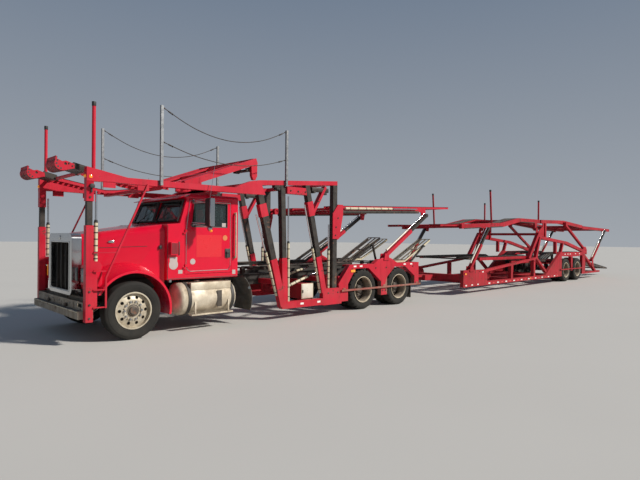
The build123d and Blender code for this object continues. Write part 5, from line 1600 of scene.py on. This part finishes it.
@dataclass
class HeadArms:
    """Fittings of the two track arms at the head of the rack: dark discs painted as the shade in the nose's
    punched holes, rollers, pins, collars.
    """

    nose: Point = (1.025, 2.727)
    nose_radius: float = 0.105
    band: Point = (0.539, 0.956)

    def build(self) -> None:
        """Build the arms' fittings."""
        form, marks = Form(), Form()
        # Dark discs on the nose and its sides are painted shade for its punched holes.
        for angle in map(math.radians, (-102, -88, -74, -60, -46, -32, 25, 40)):
            way = Vector((math.cos(angle), 0, math.sin(angle)))
            for row in range(5):
                nose = Vector((self.nose[0], self.band[0] + 0.055 + row * 0.077, self.nose[1]))
                for reach, depth in ((-0.0012, 0.0022), (-0.0078, -0.0022)):
                    spot = nose + way * (self.nose_radius + reach)
                    marks.rod(spot, spot + way * depth, 0.017, 10)
        for angle in map(math.radians, (-78, -42, -6, 30)):
            x, z = self.nose[0] + 0.077 * math.cos(angle), self.nose[1] + 0.077 * math.sin(angle)
            marks.across(x, z, (0.969, 0.9712), 0.014, 12).across(x, z, (0.526, 0.5238), 0.014, 12)
        marks.mirrored().settle("arm_hole_shade_discs", RUBBER, slot="black_paint")
        for x, z, band, radius, segments in (
                (1.1, 2.812, self.band, 0.013, 16), (1.06, 2.7, self.band, 0.016, 16),
                (0.98, 2.725, self.band, 0.026, 16), (0.905, 2.7, self.band, 0.02, 16),
                (0.66, 2.65, (0.5, 0.522), 0.038, 24), (0.66, 2.65, (0.978, 1.0), 0.038, 24),
                (0.715, 2.69, (0.592, 0.898), 0.014, 12), (0.8, 2.69, (0.592, 0.898), 0.014, 12)):
            form.across(x, z, band, radius, segments)
        form.bolts([(x, 0.97, z) for x, z in ((0.93, 2.735), (0.88, 2.7))], 0.012, 0.01)
        form.mirrored().settle("arm_rollers", DARK_STEEL)


@dataclass
class DeckGear:
    """Long cylinders and dark lower flanges of the decks that tilt."""

    def build(self) -> None:
        """Build the gear of every deck."""
        cylinders = CylinderSet()
        cylinders.add((-4.9, 2.336), (-7.7, 2.45), 0.62, 1.14)
        cylinders.settle("rear_deck_barrels", "rear_deck_cylinder_rods", "rear_deck_bands", "rear_upper_deck")
        for name, body, depth, band, rounding, runs in (
                ("rear_deck_flanges", "rear_upper_deck", 0.066, (1.012, 1.122), 0.004,
                 (((-4.78, 2.25), (-7.82, 2.374)),)),
                ("front_deck_flanges", "trailer_upper_deck", 0.03, (1.08, 1.118), 0.003,
                 (((-10.2, 1.992), (-11.2, 2.036)), ((-11.8, 2.062), (-12.65, 2.1)),
                  ((-14.0, 2.3), (-15.15, 2.3)))),
                ("tail_deck_flanges", "trailer_tail_deck", 0.026, (1.08, 1.116), 0.003,
                 (((-20.9, 2.152), (-22.65, 2.128)),))):
            flange = Form()
            for start, end in runs:
                flange.bar(start, end, depth, band, rounding)
            flange.mirrored().settle(name, DARK_STEEL, body)


@dataclass
class ArmCylinders:
    """White cylinders with chrome rods that lie along the telescopic arms of the decks."""

    lift: float = 0.082
    y: float = 1.187

    def build(self) -> None:
        """Build the cylinders on each pair of arms."""
        for prefix, foot, head, share in (("rear_arm", (-6.3, 1.235), (-8.05, 2.29), 0.6),
                                          ("front_arm", (-10.4, 0.8), (-11.5, 2.01), 0.58),
                                          ("tail_arm", (-21.0, 0.78), (-22.8, 2.13), 0.55)):
            a, b = Vector((foot[0], 0, foot[1])), Vector((head[0], 0, head[1]))
            run = (b - a).normalized()
            lift = Vector((run.z, 0, -run.x)) * self.lift + Vector((0, self.y, 0))
            start = a + run * 0.14 + lift
            mouth = a + (b - a) * (share - 0.04) + lift
            barrel = Form().rod(start, mouth, 0.023, 18)
            for step in (0.0, 0.5, 1.0):
                spot = start + (mouth - start) * step
                barrel.rod(spot - run * 0.012, spot + run * 0.012, 0.027, 18)
            barrel.mirrored().settle(f"{prefix}_cylinders", WHITE, f"{prefix}_barrels")
            rod = Form().rod(mouth + run * 0.004, b - run * 0.07 + lift, 0.012)
            rod.rod(b - run * 0.085 + lift, b - run * 0.04 + lift, 0.021)
            rod.mirrored().settle(f"{prefix}_cylinder_rods", CHROME_ROD, f"{prefix}_rods")


@dataclass
class TrailerTrim:
    """Reflectors, lamps, mast caps and bolts of the trailer."""

    strip_front: float = -11.45
    strip_pitch: float = 0.29

    def build(self) -> None:
        """Build the trailer's trim."""
        white, red, tails = Form(), Form(), Form()
        for i in range(20):
            x = self.strip_front - i * self.strip_pitch
            (red if i % 2 else white).block((x - 0.13, 1.2398, 0.262), (x - 0.01, 1.2416, 0.3))
        for x, z in ((-10.1, 0.265), (-10.45, 0.265), (-10.8, 0.265), (-11.1, 0.64), (-17.8, 1.09),
                     (-18.1, 1.09), (-18.35, 1.09), (-18.95, 1.09), (-19.4, 1.09)):
            white.block((x - 0.045, 1.2398, z), (x + 0.045, 1.2416, z + 0.035))
        white.mirrored().settle("trailer_white_reflectors", REFLECT_WHITE, "trailer")
        red.mirrored().settle("trailer_red_reflectors", REFLECT_RED, "trailer")
        lamps = Form().block((-10.1, 1.2398, 0.6), (-10.02, 1.254, 0.65), 0.006)
        lamps.block((-14.6, 1.2398, 0.275), (-14.52, 1.254, 0.315), 0.006)
        lamps.mirrored().settle("trailer_amber_lamps", AMBER, "trailer")
        for z in (0.4, 0.52, 0.64):
            tails.rod((-20.115, 1.185, z), (-20.135, 1.185, z), 0.045, 20, 0.004)
        tails.mirrored().settle("tail_lamps", RED_LENS, "trailer")
        caps = Form().rod((-11.8225, 1.085, 3.215), (-11.8195, 1.085, 3.276), 0.034, 16, 0.004)
        caps.rod((-15.56, 1.085, 3.085), (-15.56, 1.085, 3.146), 0.034, 16, 0.004)
        caps.mirrored().settle("trailer_mast_caps", RUBBER, "trailer_upper_deck")
        spots = [(x, 1.24, z) for x, z in (
            (-10.0, 0.33), (-10.0, 0.64), (-10.35, 0.69), (-10.9, 0.68), (-11.3, 0.42), (-15.6, 1.8),
            (-15.5, 1.7), (-14.9, 0.9), (-17.4, 0.9), (-17.4, 0.5), (-16.9, 0.4), (-18.55, 0.95),
            (-18.55, 0.55), (-19.9, 1.05), (-19.9, 0.5), (-20.1, 1.25))]
        Form().bolts(spots, 0.017, 0.012).mirrored().settle("trailer_bolts", DARK_STEEL, "trailer")


# Finishes of the solids that stay in view

NODE_LOOKS: dict[str, Look] = {name: look for look, names in (
    (CAB_RED, "bonnet cab_shell door_left door_right head_lamps"),
    (WINDOW, "cab_glass door_glass_left door_glass_right"),
    (FRAME_RED, "rack_posts tower_collars head_arms head_deck side_frames cab_ramp rear_deck "
                "rear_arm_barrels"),
    (TRAILER_RED, "side_boxes trailer_frame trailer_sides trailer_mid_deck trailer_front_deck "
                  "front_arm_barrels tail_deck tail_arm_barrels"),
    (DARK_STEEL, "inner_posts loading_tracks rear_arm_rods trailer_tracks front_arm_rods tail_arm_rods "
                 "rear_ramp safety_line_upper_left safety_line_upper_right safety_line_lower_left "
                 "safety_line_lower_right"),
    (CHASSIS, "chassis_frame tractor_axles trailer_axles"),
    (IRON, "engine_block knuckle_left knuckle_right"),
    (CHROME, "grille"), (BUMPER_STEEL, "front_bumper"), (PLASTIC, "cab_interior"), (TANK_ALLOY, "fuel_tanks"),
    (WING_STEEL, "wings_and_flaps"), (WHITE, "post_cylinders"), (GALVANISED, "line_posts"),
    (RIM_ALLOY, "front_rim_left front_rim_right"), (TYRE, "front_tyre_left front_tyre_right"),
) for name in names.split()}


@dataclass(frozen=True)
class Region:
    """A finish for the faces whose middles lie in a box.

    The box is in metres from the front axle and the middle line, and counts for both sides.
    """

    look: Look
    low: Point
    high: Point

    def holds(self, spot: Vector) -> bool:
        """Tell whether a face's middle lies in the box.

        Args:
            spot: The middle, in the frame.

        Returns:
            True if it does.
        """
        place = (spot.x - AXLE_X, abs(spot.y), spot.z)
        return all(a <= v <= b for a, v, b in zip(self.low, place, self.high))


@dataclass
class DressedNode:
    """Copy of a solid with its triangles joined to flats, its edges rounded and finishes laid by region."""

    node: str
    regions: tuple[Region, ...] = ()
    rounding: float = 0.004
    slot: str = ""
    flat: float = math.radians(0.6)
    sharp: float = math.radians(35)

    def build(self) -> None:
        """Build the copy that stands for the solid."""
        source = frame["nodes"][self.node]
        bm = bmesh.new()
        bm.from_mesh(source.data)
        bmesh.ops.remove_doubles(bm, verts=bm.verts, dist=2e-5)
        bmesh.ops.dissolve_limit(bm, angle_limit=self.flat, use_dissolve_boundaries=False, verts=bm.verts,
                                 edges=bm.edges, delimit=set())
        bmesh.ops.recalc_face_normals(bm, faces=bm.faces)
        runs = [run for run in TRACK_RUNS if run.node == self.node]
        floors = [face for face in bm.faces if any(run.is_floor(face) for run in runs)]
        bmesh.ops.delete(bm, geom=floors, context="FACES_ONLY")
        for face in bm.faces:
            spot = face.calc_center_median()
            found = (i for i, region in enumerate(self.regions, 1) if region.holds(spot))
            face.material_index = next(found, 0)
        looks = [NODE_LOOKS[self.node], *(region.look for region in self.regions)]
        mesh = write_mesh(f"{self.node}_shell", bm, looks)
        piece = place_object(mesh.name, mesh, source["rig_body"], [self.node])
        round_off = piece.modifiers.new("edges", "BEVEL")
        round_off.width = self.rounding
        round_off.segments = 2
        round_off.limit_method = "ANGLE"
        round_off.angle_limit = self.sharp
        round_off.use_clamp_overlap = True
        round_off.harden_normals = False


DOOR_REGIONS = (Region(CHROME, (-1.4, 1.022, 1.8), (-1.0, 1.5, 2.4)),
                Region(RUBBER, (-1.95, 1.0005, 1.25), (-1.8, 1.05, 1.42)))
DRESSED_NODES = (
    DressedNode("cab_shell", (Region(RIM_ALLOY, (-2.04, 1.002, 1.25), (-1.98, 1.07, 2.13)),
                              Region(CAB_LINING, (-2.075, 0.0, 0.98), (-1.02, 0.975, 2.395))), 0.006),
    DressedNode("bonnet", rounding=0.005),
    DressedNode("door_left", DOOR_REGIONS, 0.003),
    DressedNode("door_right", DOOR_REGIONS, 0.003),
    DressedNode("grille", (Region(DARK_STEEL, (0.6, 0.0, 0.775), (0.744, 0.4495, 1.5485)),), 0.006),
    DressedNode("head_lamps", rounding=0.006),
    DressedNode("head_arms", (Region(DARK_STEEL, (0.6, 0.528, 2.5), (0.868, 0.967, 2.9)),
                              # The nose takes the darker trailer red with its chips and streaks, partly as
                              # painted shade for the nose's dark underside.
                              Region(TRAILER_RED, (0.84, 0.541, 2.6), (1.13, 0.954, 2.95)))),
    DressedNode("side_frames", (Region(RUSTY_RAIL, (-7.7, 1.1, 0.4), (-4.7, 1.4, 0.72)),)),
    DressedNode("side_boxes", (Region(CREAM, (-4.0, 1.1, 0.3), (-3.55, 1.14, 0.8)),), 0.008, "white_paint"),
    DressedNode("loading_tracks", (Region(CREAM, (-8.7, 0.95, 1.0), (-6.4, 0.97, 1.8)),
                                   Region(CREAM, (-8.7, 0.55, 1.0), (-6.4, 0.562, 1.8)))),
    DressedNode("rear_ramp", slot="black_paint"),
    *(DressedNode(node) for node in (
        "front_bumper", "rack_posts", "tower_collars", "head_deck", "inner_posts", "cab_ramp", "rear_deck",
        "rear_arm_barrels", "trailer_sides", "trailer_frame", "trailer_mid_deck", "trailer_front_deck",
        "tail_deck", "trailer_tracks")),
)


def dress_solids() -> None:
    """Give every solid of the frame its finish."""
    for name, node in frame["nodes"].items():
        look = TYRE if "wheel" in name else NODE_LOOKS[name]
        if not node.material_slots:
            node.data.materials.append(None)
        for slot in node.material_slots:
            slot.material = look.material()
        log.info("solid %s: %s", name, look.name)


# Studio

@dataclass
class Studio:
    """Pale floor, soft light and the camera at the photograph's place."""

    eye: Point = (3.442 + AXLE_X, 8.993, 1.645)
    yaw: float = math.radians(-133.954)
    pitch: float = math.radians(-0.166)
    roll: float = math.radians(0.542)
    lens: float = 28.29
    sensor: float = 36.0
    view_limit: float = 400.0
    floor_size: float = 150.0
    floor_colour: Colour = (0.5, 0.485, 0.455)
    sky_low: Colour = (0.74, 0.79, 0.85)
    sky_high: Colour = (0.24, 0.34, 0.5)
    sky_strength: float = 0.5
    sun_way: Point = (0.5, -0.72, -0.62)
    sun_energy: float = 4.7
    sun_angle: float = math.radians(5)
    sun_colour: Colour = (1.0, 0.955, 0.89)

    def build(self) -> None:
        """Build the studio."""
        self.floor()
        self.lights()
        self.camera()

    def floor(self) -> None:
        """Build the floor."""
        part = bmesh.new()
        bmesh.ops.create_grid(part, x_segments=1, y_segments=1, size=self.floor_size)
        mesh = bpy.data.meshes.new("studio_floor")
        part.to_mesh(mesh)
        part.free()
        made, shader, wires, place = start_material("studio_floor")
        cloud = wires.noise(place, 0.35, 3.0, 0.5)
        darker = tuple(c * 0.94 for c in self.floor_colour)
        wires.join(wires.blend(cloud, self.floor_colour, darker), shader.inputs["Base Color"])
        shader.inputs["Roughness"].default_value = 0.9
        mesh.materials.append(made)
        floor = bpy.data.objects.new("studio_floor", mesh)
        bpy.context.scene.collection.objects.link(floor)

    def lights(self) -> None:
        """Build the soft key light and the sky."""
        scene = bpy.context.scene
        scene.world = bpy.data.worlds.new("studio_sky")
        scene.world.use_nodes = True
        tree = scene.world.node_tree
        back = tree.nodes["Background"]
        wires = Wires(tree)
        up = wires.split(tree.nodes.new("ShaderNodeTexCoord").outputs["Generated"], "Z")
        sky = wires.blend(wires.remap(up, -0.05, 0.55), self.sky_low, self.sky_high)
        wires.join(sky, back.inputs["Color"])
        back.inputs["Strength"].default_value = self.sky_strength
        sun = bpy.data.lights.new("key", "SUN")
        sun.energy = self.sun_energy
        sun.angle = self.sun_angle
        sun.color = self.sun_colour
        lamp = bpy.data.objects.new("key", sun)
        lamp.rotation_mode = "QUATERNION"
        lamp.rotation_quaternion = Vector((0, 0, -1)).rotation_difference(Vector(self.sun_way).normalized())
        scene.collection.objects.link(lamp)
        scene.view_settings.view_transform = "Standard"
        scene.view_settings.exposure = 0.0

    def camera(self) -> None:
        """Place the camera at the photograph's viewpoint."""
        ahead = Vector((math.cos(self.yaw) * math.cos(self.pitch), math.sin(self.yaw) * math.cos(self.pitch),
                        math.sin(self.pitch)))
        right = Vector((math.sin(self.yaw), -math.cos(self.yaw), 0.0))
        up = right.cross(ahead)
        c, s = math.cos(self.roll), math.sin(self.roll)
        data = bpy.data.cameras.new("camera")
        data.sensor_width = self.sensor
        data.lens = self.lens
        data.clip_end = self.view_limit
        camera = bpy.data.objects.new("camera", data)
        bpy.context.scene.collection.objects.link(camera)
        turn = Matrix((right * c + up * s, up * c - right * s, -ahead)).transposed().to_4x4()
        camera.matrix_world = Matrix.Translation(self.eye) @ turn
        bpy.context.scene.camera = camera


def main() -> None:
    """Dress the transporter and set the studio."""
    logging.basicConfig(level=logging.INFO, format="%(name)s %(message)s")
    dress_solids()
    for part in (*DRESSED_NODES, FrontWheels(), TwinWheels(), CabTrim(), CabInside(), FrontEnd(),
                 SideFittings(), SafetyLines(), RackTrim(), HeadArms(), DeckGear(), ArmCylinders(),
                 TrailerTrim(), *TRACK_RUNS, Studio()):
        part.build()
        log.info("built %s", getattr(part, "node", type(part).__name__))


if __name__ == "__main__":
    main()
